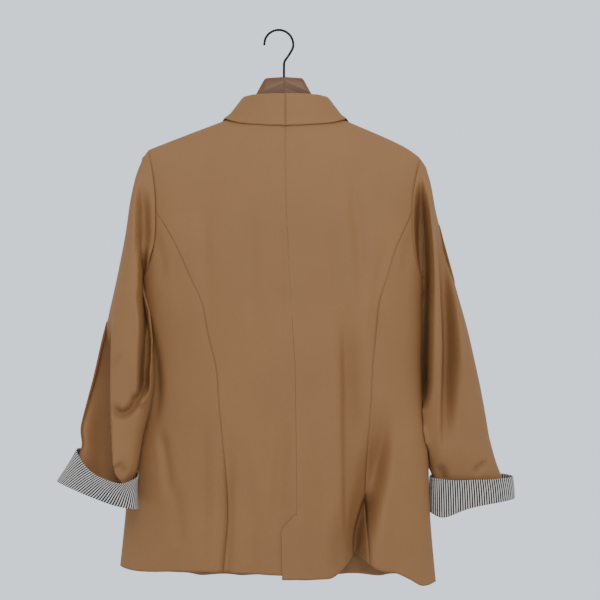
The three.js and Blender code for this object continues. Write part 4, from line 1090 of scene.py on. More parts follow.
def make_cuff(name, thickness):
    share = np.arange(CUFF_COLUMNS) / CUFF_COLUMNS
    flat = np.zeros(CUFF_COLUMNS)
    last = CUFFS[name]["place"][-1]
    place = np.linspace(1, last, CUFF_ROWS + 1)
    rows = ring_points(name, CUFFS[name], place, share, flat, flat)[0]
    wave = sum(high * np.sin(2 * np.pi * share * count + start) for high, count, start in CUFF_WAVES)
    lower = ((place - 1) / (last - 1))[:, None]
    freedom = 1 - lower
    normals = facing(normals_of(rows, loop=True), rows, rows.mean(axis=1, keepdims=True))
    points = rows + normals * (wave[None] * freedom)[..., None]
    sag, centre, width = CUFF_SAG[name]
    points[..., 2] -= sag * np.exp(-((share - centre) / width) ** 2) * ease(lower)
    closed = np.concatenate([points, points[:, :1]], axis=1)
    uv = grain_round(closed)
    uv[..., 0] += CUFF_TWIST[name] * uv[:, -1:, 0].max() * lower
    away = np.concatenate([normals, normals[:, :1]], axis=1)
    piece = wall(f"cuff_{name}_cloth", closed, away, thickness, uv, trim=0)
    merge_seam(piece)
    return piece, closed


def merge_seam(piece):
    """Joins the first and last columns of a tube, which lie on each other."""
    work = bmesh.new()
    work.from_mesh(piece.data)
    bmesh.ops.remove_doubles(work, verts=work.verts, dist=1e-6)
    work.to_mesh(piece.data)
    work.free()


# ---- Plain meshes ----

def mesh_object(name, work, material):
    """An object from a bmesh in millimetres, moved to its place from the garment's middle."""
    bmesh.ops.recalc_face_normals(work, faces=work.faces)
    bmesh.ops.scale(work, vec=(MM, MM, MM), verts=work.verts)
    bmesh.ops.translate(work, vec=(GARMENT_X * MM, 0, 0), verts=work.verts)
    mesh = bpy.data.meshes.new(name)
    work.to_mesh(mesh)
    work.free()
    mesh.polygons.foreach_set("use_smooth", [True] * len(mesh.polygons))
    mesh.materials.append(material)
    return placed(name, mesh)


def rings_mesh(work, rings):
    """Adds a closed solid through rows of points, each row a closed ring."""
    made = [[work.verts.new(tuple(place)) for place in ring] for ring in rings]
    for low, high in zip(made, made[1:]):
        for i, j in zip(range(len(low)), [*range(1, len(low)), 0]):
            work.faces.new((low[i], low[j], high[j], high[i]))
    work.faces.new(made[0])
    work.faces.new(made[-1][::-1])


def tube_rings(path, radius, sides, tip=0.0):
    """Rings about a path that stays near an XZ plane. Its ends round over within tip."""
    path = np.asarray(path, float)
    along = unit(np.gradient(path, axis=0))
    through = unit(np.cross(np.cross(along, [0, 1, 0]), along))
    over = np.cross(along, through)
    angle = 2 * np.pi * np.arange(sides) / sides
    ring = np.cos(angle)[:, None] * over[:, None] + np.sin(angle)[:, None] * through[:, None]
    passed = passed_along(path)
    end = np.minimum(passed, passed[-1] - passed) / max(tip, 1e-6)
    size = radius * np.sqrt(np.clip(1 - (1 - np.clip(end, 0, 1)) ** 2, 0.03, 1))
    return path[:, None] + ring * size[:, None, None]


def flattened(piece):
    """The piece as a plain mesh, with its modifiers applied and removed."""
    bpy.context.view_layer.update()
    evaluated = piece.evaluated_get(bpy.context.evaluated_depsgraph_get())
    mesh = bpy.data.meshes.new_from_object(evaluated)
    piece.modifiers.clear()
    piece.data = mesh


def fitting(piece, node):
    """Hands a finished hard piece to the frame in place of its construction node."""
    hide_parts(node)
    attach(piece, "root")


# ---- Button and buttonhole ----

BUTTON_RADIUS = 11.5
BUTTON_THICK = 4.0
HOLE_RADIUS = 1.0
HOLE_PLACE = 2.9  # from the button's middle to the middle of a hole
WELL = 0.62  # height of the button's dished middle, as a share of its thickness
BUTTONHOLE_LENGTH = 24.0
BUTTONHOLE_LIP = 1.3
THREAD = 0.32

# The button's turned profile, as shares of its radius and thickness.
BUTTON_PROFILE = table("radius height", [
    (0.55, 0),
    (0.86, 0.02),
    (0.955, 0.2),
    (1, 0.5),
    (0.985, 0.78),
    (0.93, 0.95),
    (0.86, 1),
    (0.78, 0.93),
    (0.7, 0.76),
    (0.6, 0.66),
    (0.3, WELL),
    (0.06, WELL),
])


def button_back_y():
    """y of the button's back, which lies on the right front."""
    cloth = smooth_body_point(np.array(2.0), np.array(float(BUTTON_Z)))
    return cloth[1] - RIGHT_FRONT_LIFT - SEAM_GAP


def turned(work, profile, x, z, segments):
    """Adds a solid turned about a line along Y through (x, z), from (radius, y) pairs."""
    angle = 2 * np.pi * np.arange(segments) / segments
    rings = []
    for radius, y in profile:
        ring = x + radius * np.cos(angle), y + 0 * angle, z + radius * np.sin(angle)
        rings.append(np.stack(ring, axis=-1))
    rings_mesh(work, rings)


def make_button(material):
    """A turned four-hole button with a raised rim and a dished middle."""
    y = button_back_y()
    disc = bmesh.new()
    rows = zip(BUTTON_PROFILE["radius"] * BUTTON_RADIUS, y - BUTTON_PROFILE["height"] * BUTTON_THICK)
    turned(disc, rows, 0, BUTTON_Z, 72)
    piece = mesh_object("button_four_hole", disc, material)
    drills = bmesh.new()
    for x, z in hole_places():
        turned(drills, [(HOLE_RADIUS, y + 2), (HOLE_RADIUS, y - BUTTON_THICK - 2)], x, BUTTON_Z + z, 20)
    cutter = mesh_object("button_drills", drills, material)
    holes = piece.modifiers.new("Holes", "BOOLEAN")
    holes.operation = "DIFFERENCE"
    holes.solver = "EXACT"
    holes.object = cutter
    flattened(piece)
    bpy.data.objects.remove(cutter)
    sharpened(piece, 40)
    fitting(piece, "button")


def hole_places():
    corners = (np.arange(4) + 0.5) * np.pi / 2
    return HOLE_PLACE * np.stack([np.cos(corners), np.sin(corners)], axis=-1)


def sharpened(piece, degrees):
    """Keeps edges sharp where faces meet at more than this angle."""
    work = bmesh.new()
    work.from_mesh(piece.data)
    for edge in work.edges:
        edge.smooth = len(edge.link_faces) == 2 and edge.calc_face_angle(0) < math.radians(degrees)
    work.to_mesh(piece.data)
    work.free()


def make_button_thread(material):
    """The thread that crosses the button's middle, three strands each way."""
    y = button_back_y() - BUTTON_THICK * WELL
    work = bmesh.new()
    holes = hole_places()
    for i, (start, end) in enumerate([(holes[0], holes[2]), (holes[1], holes[3])]):
        way = unit(end - start)
        beside = np.array([-way[1], way[0]]) * THREAD * 1.7
        for strand in (-1, 0, 1):
            t = np.linspace(-0.06, 1.06, 15)
            flat = mix(start, end, t[:, None]) + beside * strand * 0.9
            rise = THREAD * (0.9 + 1.6 * i + 0.4 * (strand == 0)) - 2.4 * np.abs(2 * t - 1) ** 6
            path = np.stack([flat[:, 0], y - rise, BUTTON_Z + flat[:, 1]], axis=-1)
            rings_mesh(work, tube_rings(path, THREAD, 8, THREAD))
    piece = mesh_object("button_thread", work, material)
    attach(piece, "root")


def node_socket(tree, kind, name, value=None, subtype=None):
    socket = tree.interface.new_socket(name, in_out="INPUT", socket_type=kind)
    if value is not None:
        socket.default_value = value
    if subtype:
        socket.subtype = subtype


def stitch_tree():
    """Geometry Nodes: thread stitches laid side by side across a path at an even spacing."""
    tree = bpy.data.node_groups.new("Buttonhole stitches", "GeometryNodeTree")
    node_socket(tree, "NodeSocketGeometry", "Geometry")
    node_socket(tree, "NodeSocketFloat", "Spacing", 0.0006, "DISTANCE")
    node_socket(tree, "NodeSocketFloat", "Stitch Length", 0.0024, "DISTANCE")
    node_socket(tree, "NodeSocketFloat", "Thread Radius", 0.0003, "DISTANCE")
    node_socket(tree, "NodeSocketVector", "Cloth Facing", (0, 1, 0))
    node_socket(tree, "NodeSocketMaterial", "Material")
    tree.interface.new_socket("Geometry", in_out="OUTPUT", socket_type="NodeSocketGeometry")
    nodes, links = tree.nodes, tree.links
    given = nodes.new("NodeGroupInput").outputs
    path = nodes.new("GeometryNodeMeshToCurve")
    spread = nodes.new("GeometryNodeResampleCurve")
    spread.mode = "LENGTH"
    tangent = nodes.new("GeometryNodeInputTangent")
    along = nodes.new("FunctionNodeAlignRotationToVector")
    along.axis = "X"
    upright = nodes.new("FunctionNodeAlignRotationToVector")
    upright.axis = "Y"
    upright.pivot_axis = "X"
    thread = nodes.new("GeometryNodeMeshUVSphere")
    thread.inputs["Segments"].default_value = 8
    thread.inputs["Rings"].default_value = 6
    thread.inputs["Radius"].default_value = 1.0
    half = nodes.new("ShaderNodeMath")
    half.operation = "MULTIPLY"
    half.inputs[1].default_value = 0.5
    size = nodes.new("ShaderNodeCombineXYZ")
    place = nodes.new("GeometryNodeInstanceOnPoints")
    real = nodes.new("GeometryNodeRealizeInstances")
    finish = nodes.new("GeometryNodeSetMaterial")
    out = nodes.new("NodeGroupOutput").inputs
    links.new(given["Geometry"], path.inputs["Mesh"])
    links.new(path.outputs["Curve"], spread.inputs["Curve"])
    links.new(given["Spacing"], spread.inputs["Length"])
    links.new(spread.outputs["Curve"], place.inputs["Points"])
    links.new(thread.outputs["Mesh"], place.inputs["Instance"])
    links.new(tangent.outputs["Tangent"], along.inputs["Vector"])
    links.new(along.outputs["Rotation"], upright.inputs["Rotation"])
    links.new(given["Cloth Facing"], upright.inputs["Vector"])
    links.new(upright.outputs["Rotation"], place.inputs["Rotation"])
    links.new(given["Stitch Length"], half.inputs[0])
    links.new(given["Thread Radius"], size.inputs["X"])
    links.new(given["Thread Radius"], size.inputs["Y"])
    links.new(half.outputs["Value"], size.inputs["Z"])
    links.new(size.outputs["Vector"], place.inputs["Scale"])
    links.new(place.outputs["Instances"], real.inputs["Geometry"])
    links.new(real.outputs["Geometry"], finish.inputs["Geometry"])
    links.new(given["Material"], finish.inputs["Material"])
    links.new(finish.outputs["Geometry"], out["Geometry"])
    return tree


def stitches(name, path, tree, settings):
    """A plain mesh of stitches along a path in millimetres, made by the tree."""
    mesh = bpy.data.meshes.new(name)
    mesh.from_pydata(from_garment(path).tolist(), [(i, i + 1) for i in range(len(path) - 1)], [])
    piece = placed(name, mesh)
    maker = piece.modifiers.new("Stitches", "NODES")
    maker.node_group = tree
    sockets = {item.name: item.identifier for item in tree.interface.items_tree if item.in_out == "INPUT"}
    for setting, value in settings.items():
        maker[sockets[setting]] = value
    flattened(piece)
    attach(piece, "root")


def buttonhole_path():
    """Along the buttonhole's upper lip, round its end and back along its lower lip."""
    inner, outer = -BUTTON_RADIUS * 0.3, -BUTTONHOLE_LENGTH
    turn = np.linspace(0, np.pi, 9)[1:-1]
    upper = [(x, BUTTONHOLE_LIP) for x in np.linspace(inner, outer, 14)]
    end = [(outer - BUTTONHOLE_LIP * math.sin(a), BUTTONHOLE_LIP * math.cos(a)) for a in turn]
    lower = [(x, -BUTTONHOLE_LIP) for x in np.linspace(outer, inner, 14)]
    x, z = np.array(upper + end + lower).T
    z = z + BUTTON_Z
    cloth = body_point(front_turn(-1, x, z), z)
    return np.stack([x, cloth[..., 1] - front_lift(-1, x) - 0.1, z], axis=-1)


# ---- Hanger ----

WOOD_SIDES = 32
WOOD_SQUARE = 0.66  # exponent of the section's rounded rectangle
JOINT_X = 2.5  # where the hanger's two halves meet
JOINT_DEEP, JOINT_HALF = 0.35, 0.45  # depth and half width of the groove between them
WOOD_SECTIONS = 240
TIP_ROUND = 4.0
CORNER_ROUND = 2.5


def hanger_line():
    """The hanger's top, bottom and half thickness as functions of x, with its corners eased."""
    spans = []
    for side in (-1, 1):
        x = side * HANGER_ARM["reach"]
        top = shoulder_z(x) - CLOTH - HANGER_ARM["under"]
        spans.append(np.stack([x, top, top - HANGER_ARM["deep"], HANGER_ARM["half"]], axis=-1))
    block = np.stack([HANGER_BLOCK[name] for name in ("x", "top", "bottom", "half")], axis=-1)
    rows = np.concatenate([spans[0][::-1], block, spans[1]])
    rounding = np.linspace(-CORNER_ROUND, CORNER_ROUND, 7)

    def read(column):
        def near(x, off):
            return np.interp(x + off, rows[:, 0], rows[:, column])

        return lambda x: np.mean([near(x, off) for off in rounding], axis=0)

    return {"top": read(1), "bottom": read(2), "half": read(3)}, rows[0, 0], rows[-1, 0]


def make_hanger_wood(material):
    """The hanger's arms and block from rounded sections, with the joint of its two halves."""
    line, start, end = hanger_line()
    at_joint = JOINT_X + np.array([-1, -0.5, 0, 0.5, 1])
    x = np.unique(np.concatenate([np.linspace(start, end, WOOD_SECTIONS), at_joint]))
    angle = 2 * np.pi * np.arange(WOOD_SIDES) / WOOD_SIDES
    across = signed_power(np.sin(angle), WOOD_SQUARE)
    up = signed_power(np.cos(angle), WOOD_SQUARE)
    groove = JOINT_DEEP * np.exp(-((x - JOINT_X) / JOINT_HALF) ** 2)
    near = np.clip(np.minimum(x - start, end - x) / TIP_ROUND, 0, 1)
    taper = np.sqrt(np.clip(1 - (1 - near) ** 2, 0.02, 1))
    half = (line["half"](x) - groove) * taper
    tall = ((line["top"](x) - line["bottom"](x)) / 2 - groove) * taper
    middle = (line["top"](x) + line["bottom"](x)) / 2
    flat = x[:, None] + 0 * across
    rings = np.stack([flat, half[:, None] * across, middle[:, None] + tall[:, None] * up], axis=-1)
    work = bmesh.new()
    rings_mesh(work, rings)
    fitting(mesh_object("hanger_wood_shaped", work, material), "hanger_wood")


STEM_SINK = 3.0  # the stem goes this far into the wood
ARC_SPANS, WIRE_SPAN, WIRE_SIDES = 8, 9, 20  # spans of the crook, rings for each, and their corners
TIP_STEPS = 0.6, 1.2, 1.7  # places past the crook's end where the wire's tip rounds over


def make_hook(material):
    """The wire hook, from its stem in the wood round the crook to a rounded tip."""
    crook_x, crook_z = -GARMENT_X, WIRE_RADIUS - HOOK_RADIUS
    angle = mix(HOOK_START, math.pi, steps(ARC_SPANS))
    arc_x = crook_x - HOOK_RADIUS * np.cos(angle)
    arc = np.stack([arc_x, crook_z + HOOK_RADIUS * np.sin(angle)], axis=-1)
    stem = np.stack([HOOK_STEM["x"], HOOK_STEM["z"]], axis=-1)
    stem[0, 1] -= STEM_SINK
    flat = through_points(np.concatenate([stem, arc]), WIRE_SPAN)
    path = np.stack([flat[:, 0], 0 * flat[:, 0], flat[:, 1]], axis=-1)
    way = unit(path[-1] - path[-2])
    close = path[-1] + way * np.array(TIP_STEPS)[:, None]
    work = bmesh.new()
    wire = np.concatenate([path, close])
    rings_mesh(work, tube_rings(wire, WIRE_RADIUS, WIRE_SIDES, WIRE_RADIUS))
    fitting(mesh_object("hanger_hook_wire", work, material), "hanger_hook")


# ---- Finishes ----

class Finish:
    """A material under construction: its node tree, its shader and short ways to add nodes."""

    def __init__(self, name):
        self.material = bpy.data.materials.new(name)
        self.material.use_nodes = True
        self.tree = self.material.node_tree
        self.shader = self.tree.nodes["Principled BSDF"]

    def node(self, kind, inputs=(), **settings):
        node = self.tree.nodes.new(kind)
        for name, value in settings.items():
            setattr(node, name, value)
        for socket, value in dict(inputs).items():
            self.put(node.inputs[socket], value)
        return node

    def put(self, socket, value):
        if isinstance(value, bpy.types.NodeSocket):
            self.tree.links.new(value, socket)
        else:
            socket.default_value = value

    def set(self, **inputs):
        for name, value in inputs.items():
            self.put(self.shader.inputs[name.replace("_", " ")], value)

    def math(self, operation, *values):
        return self.node("ShaderNodeMath", dict(enumerate(values)), operation=operation).outputs[0]

    def cloth_place(self):
        return self.node("ShaderNodeUVMap", uv_map="Cloth").outputs["UV"]

    def object_place(self):
        return self.node("ShaderNodeTexCoord").outputs["Object"]

    def stretched(self, place, scale, turn=(0, 0, 0)):
        inputs = {"Vector": place, "Scale": scale, "Rotation": turn}
        return self.node("ShaderNodeMapping", inputs).outputs["Vector"]

    def noise(self, place, scale, detail=2.0, roughness=0.5):
        inputs = {"Vector": place, "Scale": scale, "Detail": detail, "Roughness": roughness}
        return self.node("ShaderNodeTexNoise", inputs).outputs["Fac"]

    def ramp(self, value, low, high, to_low, to_high):
        inputs = {"Value": value, "From Min": low, "From Max": high, "To Min": to_low, "To Max": to_high}
        return self.node("ShaderNodeMapRange", inputs).outputs["Result"]

    def mixed(self, share, a, b):
        mixer = self.node("ShaderNodeMix", data_type="RGBA")
        for socket, value in zip((mixer.inputs[0], mixer.inputs[6], mixer.inputs[7]), (share, a, b)):
            self.put(socket, value)
        return mixer.outputs[2]

    def times(self, colour, share):
        inputs = {0: colour, 1: share}
        return self.node("ShaderNodeVectorMath", inputs, operation="MULTIPLY").outputs[0]

    def bump(self, height, distance, strength=1.0, under=None):
        inputs = {"Height": height, "Distance": distance, "Strength": strength}
        if under is not None:
            inputs["Normal"] = under
        return self.node("ShaderNodeBump", inputs).outputs["Normal"]


def tinted(colour, factor):
    return tuple(channel * factor for channel in colour[:3]) + (1.0,)


def twill(finish, place, pitch):
    """Height of a fine diagonal twill, its ribs one pitch apart."""
    parts = finish.node("ShaderNodeSeparateXYZ", {"Vector": place}).outputs
    slope = finish.math("MULTIPLY_ADD", parts["Y"], 0.8, parts["X"])
    rib = finish.math("SINE", finish.math("MULTIPLY", slope, 2 * math.pi / pitch))
    warp = finish.math("SINE", finish.math("MULTIPLY", parts["X"], 2 * math.pi / (pitch * 0.53)))
    return finish.math("MULTIPLY_ADD", warp, 0.35, rib)


def suiting_finish(look):
    """Camel suiting: a fine twill with a slight sheen and soft unevenness."""
    finish = Finish("Camel suiting")
    place = finish.cloth_place()
    solid = finish.object_place()
    colour = tuple(look.suiting_colour)
    cloud = finish.ramp(finish.noise(solid, 9, 3), 0.3, 0.7, 0, 1)
    fibre = finish.noise(finish.stretched(place, (900, 120, 1)), 1, 2)
    base = finish.mixed(cloud, tinted(colour, 0.955), tinted(colour, 1.035))
    ribs = twill(finish, place, look.twill_pitch)
    shade = finish.ramp(finish.math("MULTIPLY_ADD", fibre, 1.6, ribs), -0.6, 2.2, 0.84, 1.08)
    finish.set(Base_Color=finish.times(base, shade))
    crinkle = finish.noise(finish.stretched(solid, (26, 26, 13)), 1, 3)
    soft = finish.bump(crinkle, 0.0035, 0.5)
    finish.set(Normal=finish.bump(ribs, 0.00008, 0.6, soft), Roughness=look.suiting_roughness)
    finish.set(Sheen_Weight=look.suiting_sheen, Sheen_Roughness=0.45, Specular_IOR_Level=0.35)
    finish.set(Sheen_Tint=tinted(colour, 2.0))
    return finish.material


def stripe_finish(look):
    """Striped lining cloth: fine charcoal and white lines along the sleeve."""
    finish = Finish("Striped lining cloth")
    place = finish.cloth_place()
    across = finish.node("ShaderNodeSeparateXYZ", {"Vector": place}).outputs["X"]
    wobble = finish.noise(finish.stretched(place, (260, 30, 1)), 1, 2)
    shifted = finish.math("MULTIPLY_ADD", wobble, look.stripe_pitch * 0.16, across)
    wave = finish.math("SINE", finish.math("MULTIPLY", shifted, 2 * math.pi / look.stripe_pitch))
    share = finish.ramp(wave, -0.42, -0.26, 0, 1)
    weave = finish.noise(finish.stretched(place, (1500, 1500, 1)), 1, 1)
    speck = finish.ramp(weave, 0.2, 0.8, 0.86, 1.08)
    colour = finish.mixed(share, tuple(look.stripe_light), tuple(look.stripe_dark))
    finish.set(Base_Color=finish.times(colour, speck))
    ribs = twill(finish, place, 0.0006)
    rumple = finish.noise(finish.stretched(finish.object_place(), (40, 40, 25)), 1, 3)
    crinkle = finish.bump(rumple, 0.002, 0.5)
    finish.set(Normal=finish.bump(ribs, 0.00006, 0.5, crinkle), Roughness=0.48)
    finish.set(Sheen_Weight=0.12, Sheen_Roughness=0.4, Specular_IOR_Level=0.45)
    return finish.material


def wood_finish(look):
    """Stained hardwood with long grain, and a darker half beside the joint."""
    finish = Finish("Stained hardwood")
    place = finish.object_place()
    parts = finish.node("ShaderNodeSeparateXYZ", {"Vector": place}).outputs
    joint = (GARMENT_X + JOINT_X) * MM
    other = finish.math("GREATER_THAN", parts["X"], joint)
    bent = finish.math("MULTIPLY_ADD", finish.math("ABSOLUTE", finish.math("SUBTRACT", parts["X"], joint)),
                       0.42, parts["Z"])
    moved = finish.node("ShaderNodeCombineXYZ", {
        "X": finish.math("MULTIPLY", parts["X"], 5),
        "Y": finish.math("MULTIPLY_ADD", other, 3.7, finish.math("MULTIPLY", parts["Y"], 60)),
        "Z": finish.math("MULTIPLY", bent, 110),
    }).outputs["Vector"]
    wide = finish.noise(moved, 1, 3, 0.55)
    fine = finish.noise(finish.stretched(moved, (2, 5, 5)), 1, 2)
    grain = finish.ramp(finish.math("MULTIPLY_ADD", fine, 0.35, wide), 0.42, 0.9, 0, 1)
    colour = tuple(look.wood_colour)
    base = finish.mixed(grain, tinted(colour, 0.55), tinted(colour, 1.15))
    finish.set(Base_Color=finish.mixed(finish.math("MULTIPLY", other, 0.22), base, tinted(colour, 0.5)))
    finish.set(Roughness=finish.ramp(grain, 0, 1, 0.5, 0.36), Coat_Weight=0.04, Coat_Roughness=0.3,
               Specular_IOR_Level=0.2)
    finish.set(Normal=finish.bump(grain, 0.0002, 0.5))
    return finish.material


def steel_finish(look):
    """Blackened steel wire, slightly worn."""
    finish = Finish("Blackened steel")
    place = finish.object_place()
    worn = finish.ramp(finish.noise(place, 140, 4), 0.55, 0.8, 0, 0.35)
    finish.set(Base_Color=finish.mixed(worn, tuple(look.steel_colour), (0.05, 0.047, 0.045, 1)))
    finish.set(Metallic=0.75, Roughness=finish.ramp(finish.noise(place, 60, 3), 0.3, 0.7, 0.26, 0.42))
    finish.set(Normal=finish.bump(finish.noise(place, 500, 2), 0.00003, 0.4))
    return finish.material


def horn_finish(look):
    """Polished horn, dark with lighter streaks."""
    finish = Finish("Polished horn")
    place = finish.object_place()
    bent = finish.node("ShaderNodeVectorMath", {
        0: finish.stretched(place, (70, 160, 300), (0.3, 0, 0.5)),
        1: finish.node("ShaderNodeTexNoise", {"Vector": place, "Scale": 90.0}).outputs["Color"],
    }, operation="ADD").outputs[0]
    streak = finish.ramp(finish.noise(bent, 1, 4, 0.6), 0.4, 0.72, 0, 1)
    colour = tuple(look.button_colour)
    finish.set(Base_Color=finish.mixed(streak, colour, tinted(colour, 3.2)))
    finish.set(Roughness=0.22, Coat_Weight=0.3, Coat_Roughness=0.1)
    finish.set(Normal=finish.bump(streak, 0.00004, 0.3))
    return finish.material


def thread_finish(look):
    """Buttonhole twist in the suiting's colour, a little darker."""
    finish = Finish("Buttonhole twist")
    place = finish.stretched(finish.object_place(), (3000, 3000, 1200), (0.4, 0.2, 0.6))
    fibre = finish.noise(place, 1, 2)
    colour = tuple(look.suiting_colour)
    finish.set(Base_Color=finish.mixed(fibre, tinted(colour, 0.35), tinted(colour, 0.6)))
    finish.set(Roughness=0.5, Normal=finish.bump(fibre, 0.00005, 0.6), Sheen_Weight=0.2)
    return finish.material


# ---- Settings ----

def length_setting(name, description, default):
    return bpy.props.FloatProperty(name=name, description=description, default=default, min=0,
                                   precision=5, unit="LENGTH", subtype="DISTANCE")


def share_setting(name, description, default):
    return bpy.props.FloatProperty(name=name, description=description, default=default, min=0, max=1,
                                   subtype="FACTOR")


def colour_setting(name, description, default):
    return bpy.props.FloatVectorProperty(name=name, description=description, default=(*default, 1), size=4,
                                         min=0, soft_max=1, subtype="COLOR")


class BlazerCloth(bpy.types.PropertyGroup):
    """Sizes and colours of the cloth"""

    thickness: length_setting("Thickness", "Thickness of the suiting", CLOTH * MM)
    suiting_colour: colour_setting("Suiting", "Colour of the suiting", (0.36, 0.188, 0.078))
    suiting_sheen: share_setting("Sheen", "Sheen of the suiting", 0.1)
    suiting_roughness: share_setting("Roughness", "Roughness of the suiting", 0.56)
    twill_pitch: length_setting("Twill pitch", "Distance between two ribs of the twill", 0.0009)
    stripe_pitch: length_setting("Stripe pitch", "Distance between two dark stripes of the cuffs", 0.0037)
    stripe_light: colour_setting("Light stripe", "Colour of the cuffs' light stripes", (0.96, 0.95, 0.93))
    stripe_dark: colour_setting("Dark stripe", "Colour of the cuffs' dark stripes", (0.006, 0.006, 0.009))


class BlazerFittings(bpy.types.PropertyGroup):
    """Sizes and colours of the button, its thread and the hanger"""

    button_colour: colour_setting("Button", "Darkest colour of the horn button", (0.022, 0.011, 0.006))
    stitch_spacing: length_setting("Stitch spacing", "Distance between two buttonhole stitches", 0.0006)
    stitch_length: length_setting("Stitch length", "Length of a buttonhole stitch", 0.0024)
    thread_radius: length_setting("Thread radius", "Half the thickness of the thread", THREAD * MM)
    wood_colour: colour_setting("Wood", "Colour of the hanger's wood", (0.24, 0.128, 0.07))
    steel_colour: colour_setting("Steel", "Colour of the hook's steel", (0.012, 0.011, 0.011))


class BlazerStage(bpy.types.PropertyGroup):
    """Sizes, colours and light of the studio"""

    wall_colour: colour_setting("Surround", "Colour of the studio all round", (1.08, 1.2, 1.35))
    surround_light: bpy.props.FloatProperty(name="Surround light", default=0.7, min=0,
                                            description="Strength of the light from all round")
    floor_colour: colour_setting("Floor", "Colour of the floor", (0.72, 0.72, 0.73))
    floor_radius: length_setting("Floor radius", "Radius of the floor", 1.15)
    floor_drop: length_setting("Floor depth", "How far the floor lies under the hook", 1.2)
    key_power: bpy.props.FloatProperty(name="Key light", description="Power of the large soft light",
                                       default=24, min=0, unit="POWER")
    key_size: length_setting("Key size", "Side of the large soft light", 1.3)
    camera_distance: length_setting("Camera distance", "Distance of the camera from the hanger", 1.9)
    lens: bpy.props.FloatProperty(name="Lens", description="Focal length of the camera", default=73.5,
                                  min=10, max=200, unit="CAMERA")


# ---- Operators ----


def material_of(name, make, look):
    """The finish by that name, made the first time that it is asked for."""
    return bpy.data.materials.get(name) or make(look)


class BLAZER_OT_stage(bpy.types.Operator):
    """Set up the floor, the light and the camera"""

    bl_idname = "blazer.stage"
    bl_label = "Studio"

    def execute(self, context):
        make_stage(context.scene.blazer_stage)
        return {"FINISHED"}


class BLAZER_OT_body(bpy.types.Operator):
    """Make the backs, side backs and fronts"""

    bl_idname = "blazer.body"
    bl_label = "Body panels"

    def execute(self, context):
        look = context.scene.blazer_cloth
        suiting = material_of("Camel suiting", suiting_finish, look)
        for name in SIDES:
            for part, make in (("back", make_back), ("side_back", make_side_back), ("front", make_front)):
                piece, points = make(name, look.thickness / MM)
                dress(piece, f"{part}_{name}", suiting, points)
        return {"FINISHED"}


class BLAZER_OT_collar(bpy.types.Operator):
    """Make the shawl collar and lapels"""

    bl_idname = "blazer.collar"
    bl_label = "Shawl collar"

    def execute(self, context):
        look = context.scene.blazer_cloth
        suiting = material_of("Camel suiting", suiting_finish, look)
        for name in SIDES:
            piece, points = make_collar(name, look.thickness / MM)
            dress(piece, f"collar_{name}", suiting, points)
        return {"FINISHED"}


class BLAZER_OT_sleeves(bpy.types.Operator):
    """Make the two-piece sleeves"""

    bl_idname = "blazer.sleeves"
    bl_label = "Sleeves"

    def execute(self, context):
        look = context.scene.blazer_cloth
        suiting = material_of("Camel suiting", suiting_finish, look)
        for name in SIDES:
            for node, (piece, points) in make_sleeve(name, look.thickness / MM).items():
                dress(piece, node, suiting, points)
        return {"FINISHED"}


class BLAZER_OT_cuffs(bpy.types.Operator):
    """Make the turned-back cuffs of striped cloth"""

    bl_idname = "blazer.cuffs"
    bl_label = "Cuffs"

    def execute(self, context):
        look = context.scene.blazer_cloth
        stripes = material_of("Striped lining cloth", stripe_finish, look)
        for name in SIDES:
            piece, points = make_cuff(name, look.thickness / MM)
            dress(piece, f"cuff_{name}", stripes, points)
        return {"FINISHED"}


class BLAZER_OT_button(bpy.types.Operator):
    """Make the button, its thread and the buttonhole's stitches"""

    bl_idname = "blazer.button"
    bl_label = "Button"

    def execute(self, context):
        sizes = context.scene.blazer_fittings
        thread = material_of("Buttonhole twist", thread_finish, context.scene.blazer_cloth)
        make_button(material_of("Polished horn", horn_finish, sizes))
        make_button_thread(thread)
        stitches("buttonhole_stitches", buttonhole_path(), stitch_tree(), {
            "Spacing": sizes.stitch_spacing,
            "Stitch Length": sizes.stitch_length,
            "Thread Radius": sizes.thread_radius,
            "Material": thread,
        })
        return {"FINISHED"}


class BLAZER_OT_hanger(bpy.types.Operator):
    """Make the wooden hanger and its wire hook"""

    bl_idname = "blazer.hanger"
    bl_label = "Hanger and hook"

    def execute(self, context):
        sizes = context.scene.blazer_fittings
        make_hanger_wood(material_of("Stained hardwood", wood_finish, sizes))
        make_hook(material_of("Blackened steel", steel_finish, sizes))
        return {"FINISHED"}


class BLAZER_PT_panel(bpy.types.Panel):
    """Everything that makes the blazer, in order"""

    bl_idname = "BLAZER_PT_panel"
    bl_label = "Blazer"
    bl_space_type = "VIEW_3D"
    bl_region_type = "UI"
    bl_category = "Blazer"

    def draw(self, context):
        groups = (
            (context.scene.blazer_cloth, OPERATORS[1:5]),
            (context.scene.blazer_fittings, OPERATORS[5:]),
            (context.scene.blazer_stage, OPERATORS[:1]),
        )
        for settings, operators in groups:
            box = self.layout.box()
            for name in settings.bl_rna.properties.keys():
                if name not in ("rna_type", "name"):
                    box.prop(settings, name)
            for operator in operators:
                box.operator(operator.bl_idname)


OPERATORS = (BLAZER_OT_stage, BLAZER_OT_body, BLAZER_OT_collar, BLAZER_OT_sleeves, BLAZER_OT_cuffs,
             BLAZER_OT_button, BLAZER_OT_hanger)
SETTINGS = {"blazer_cloth": BlazerCloth, "blazer_fittings": BlazerFittings, "blazer_stage": BlazerStage}


# ---- Stage ----

EYE_X, EYE_Z = -0.033, -0.417  # where the camera stands across and up, in metres
KEY_PLACE = (-0.25, 2.4, 1.05)  # of the large soft light, in metres
FLOOR_SEGMENTS = 96


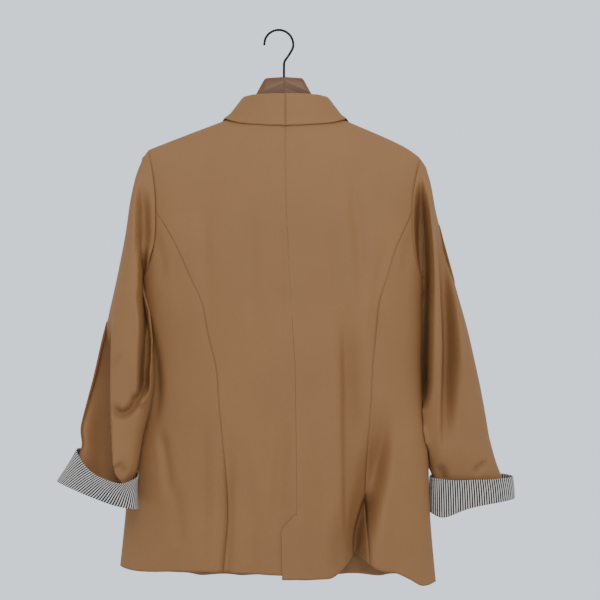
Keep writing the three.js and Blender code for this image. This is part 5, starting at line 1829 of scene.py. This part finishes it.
def make_stage(look):
    """A round pale floor, one large soft light, an even surround and the camera."""
    work = bmesh.new()
    bmesh.ops.create_circle(work, cap_ends=True, radius=look.floor_radius, segments=FLOOR_SEGMENTS)
    bmesh.ops.translate(work, vec=(0, 0, -look.floor_drop), verts=work.verts)
    mesh = bpy.data.meshes.new("floor")
    work.to_mesh(mesh)
    work.free()
    floor = placed("floor", mesh)
    paint = Finish("Matt floor paint")
    paint.set(Base_Color=tuple(look.floor_colour), Roughness=0.85)
    mesh.materials.append(paint.material)
    make_surround(look)
    soft_light("key", KEY_PLACE, look.key_size, look.key_power)
    make_camera(look)


def make_surround(look):
    """An even surround: pale where it is seen, and dimmer as a light."""
    world = bpy.data.worlds.new("Studio")
    world.use_nodes = True
    nodes, links = world.node_tree.nodes, world.node_tree.links
    seen = nodes.new("ShaderNodeLightPath").outputs["Is Camera Ray"]
    tone = nodes.new("ShaderNodeMix")
    tone.data_type = "RGBA"
    tone.inputs[6].default_value = tinted((1, 1, 1), look.surround_light)
    tone.inputs[7].default_value = tuple(look.wall_colour)
    links.new(seen, tone.inputs[0])
    links.new(tone.outputs[2], nodes["Background"].inputs["Color"])
    bpy.context.scene.world = world


def soft_light(name, place, size, power):
    """A square light at a place in metres, turned to the garment's middle."""
    lamp = bpy.data.lights.new(name, "AREA")
    lamp.shape = "SQUARE"
    lamp.size = size
    lamp.energy = power
    light = placed(name, lamp)
    light.location = place
    middle = mathutils.Vector((GARMENT_X * MM, 0, EYE_Z))
    light.rotation_euler = (middle - light.location).to_track_quat("-Z", "Y").to_euler()


def make_camera(look):
    camera = placed("camera", bpy.data.cameras.new("camera"))
    camera.data.lens = look.lens
    camera.data.sensor_width = 36
    camera.location = (EYE_X, look.camera_distance, EYE_Z)
    camera.rotation_euler = (math.radians(90), 0, math.radians(180))
    bpy.context.scene.camera = camera


def register():
    for kind in (*SETTINGS.values(), *OPERATORS, BLAZER_PT_panel):
        bpy.utils.register_class(kind)
    for name, group in SETTINGS.items():
        setattr(bpy.types.Scene, name, bpy.props.PointerProperty(type=group))


def unregister():
    for name in SETTINGS:
        delattr(bpy.types.Scene, name)
    for kind in (BLAZER_PT_panel, *reversed(OPERATORS), *SETTINGS.values()):
        bpy.utils.unregister_class(kind)


def main():
    register()
    bpy.ops.blazer.stage()
    bpy.ops.blazer.body()
    bpy.ops.blazer.collar()
    bpy.ops.blazer.sleeves()
    bpy.ops.blazer.cuffs()
    bpy.ops.blazer.button()
    bpy.ops.blazer.hanger()
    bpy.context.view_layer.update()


if __name__ == "__main__":
    main()
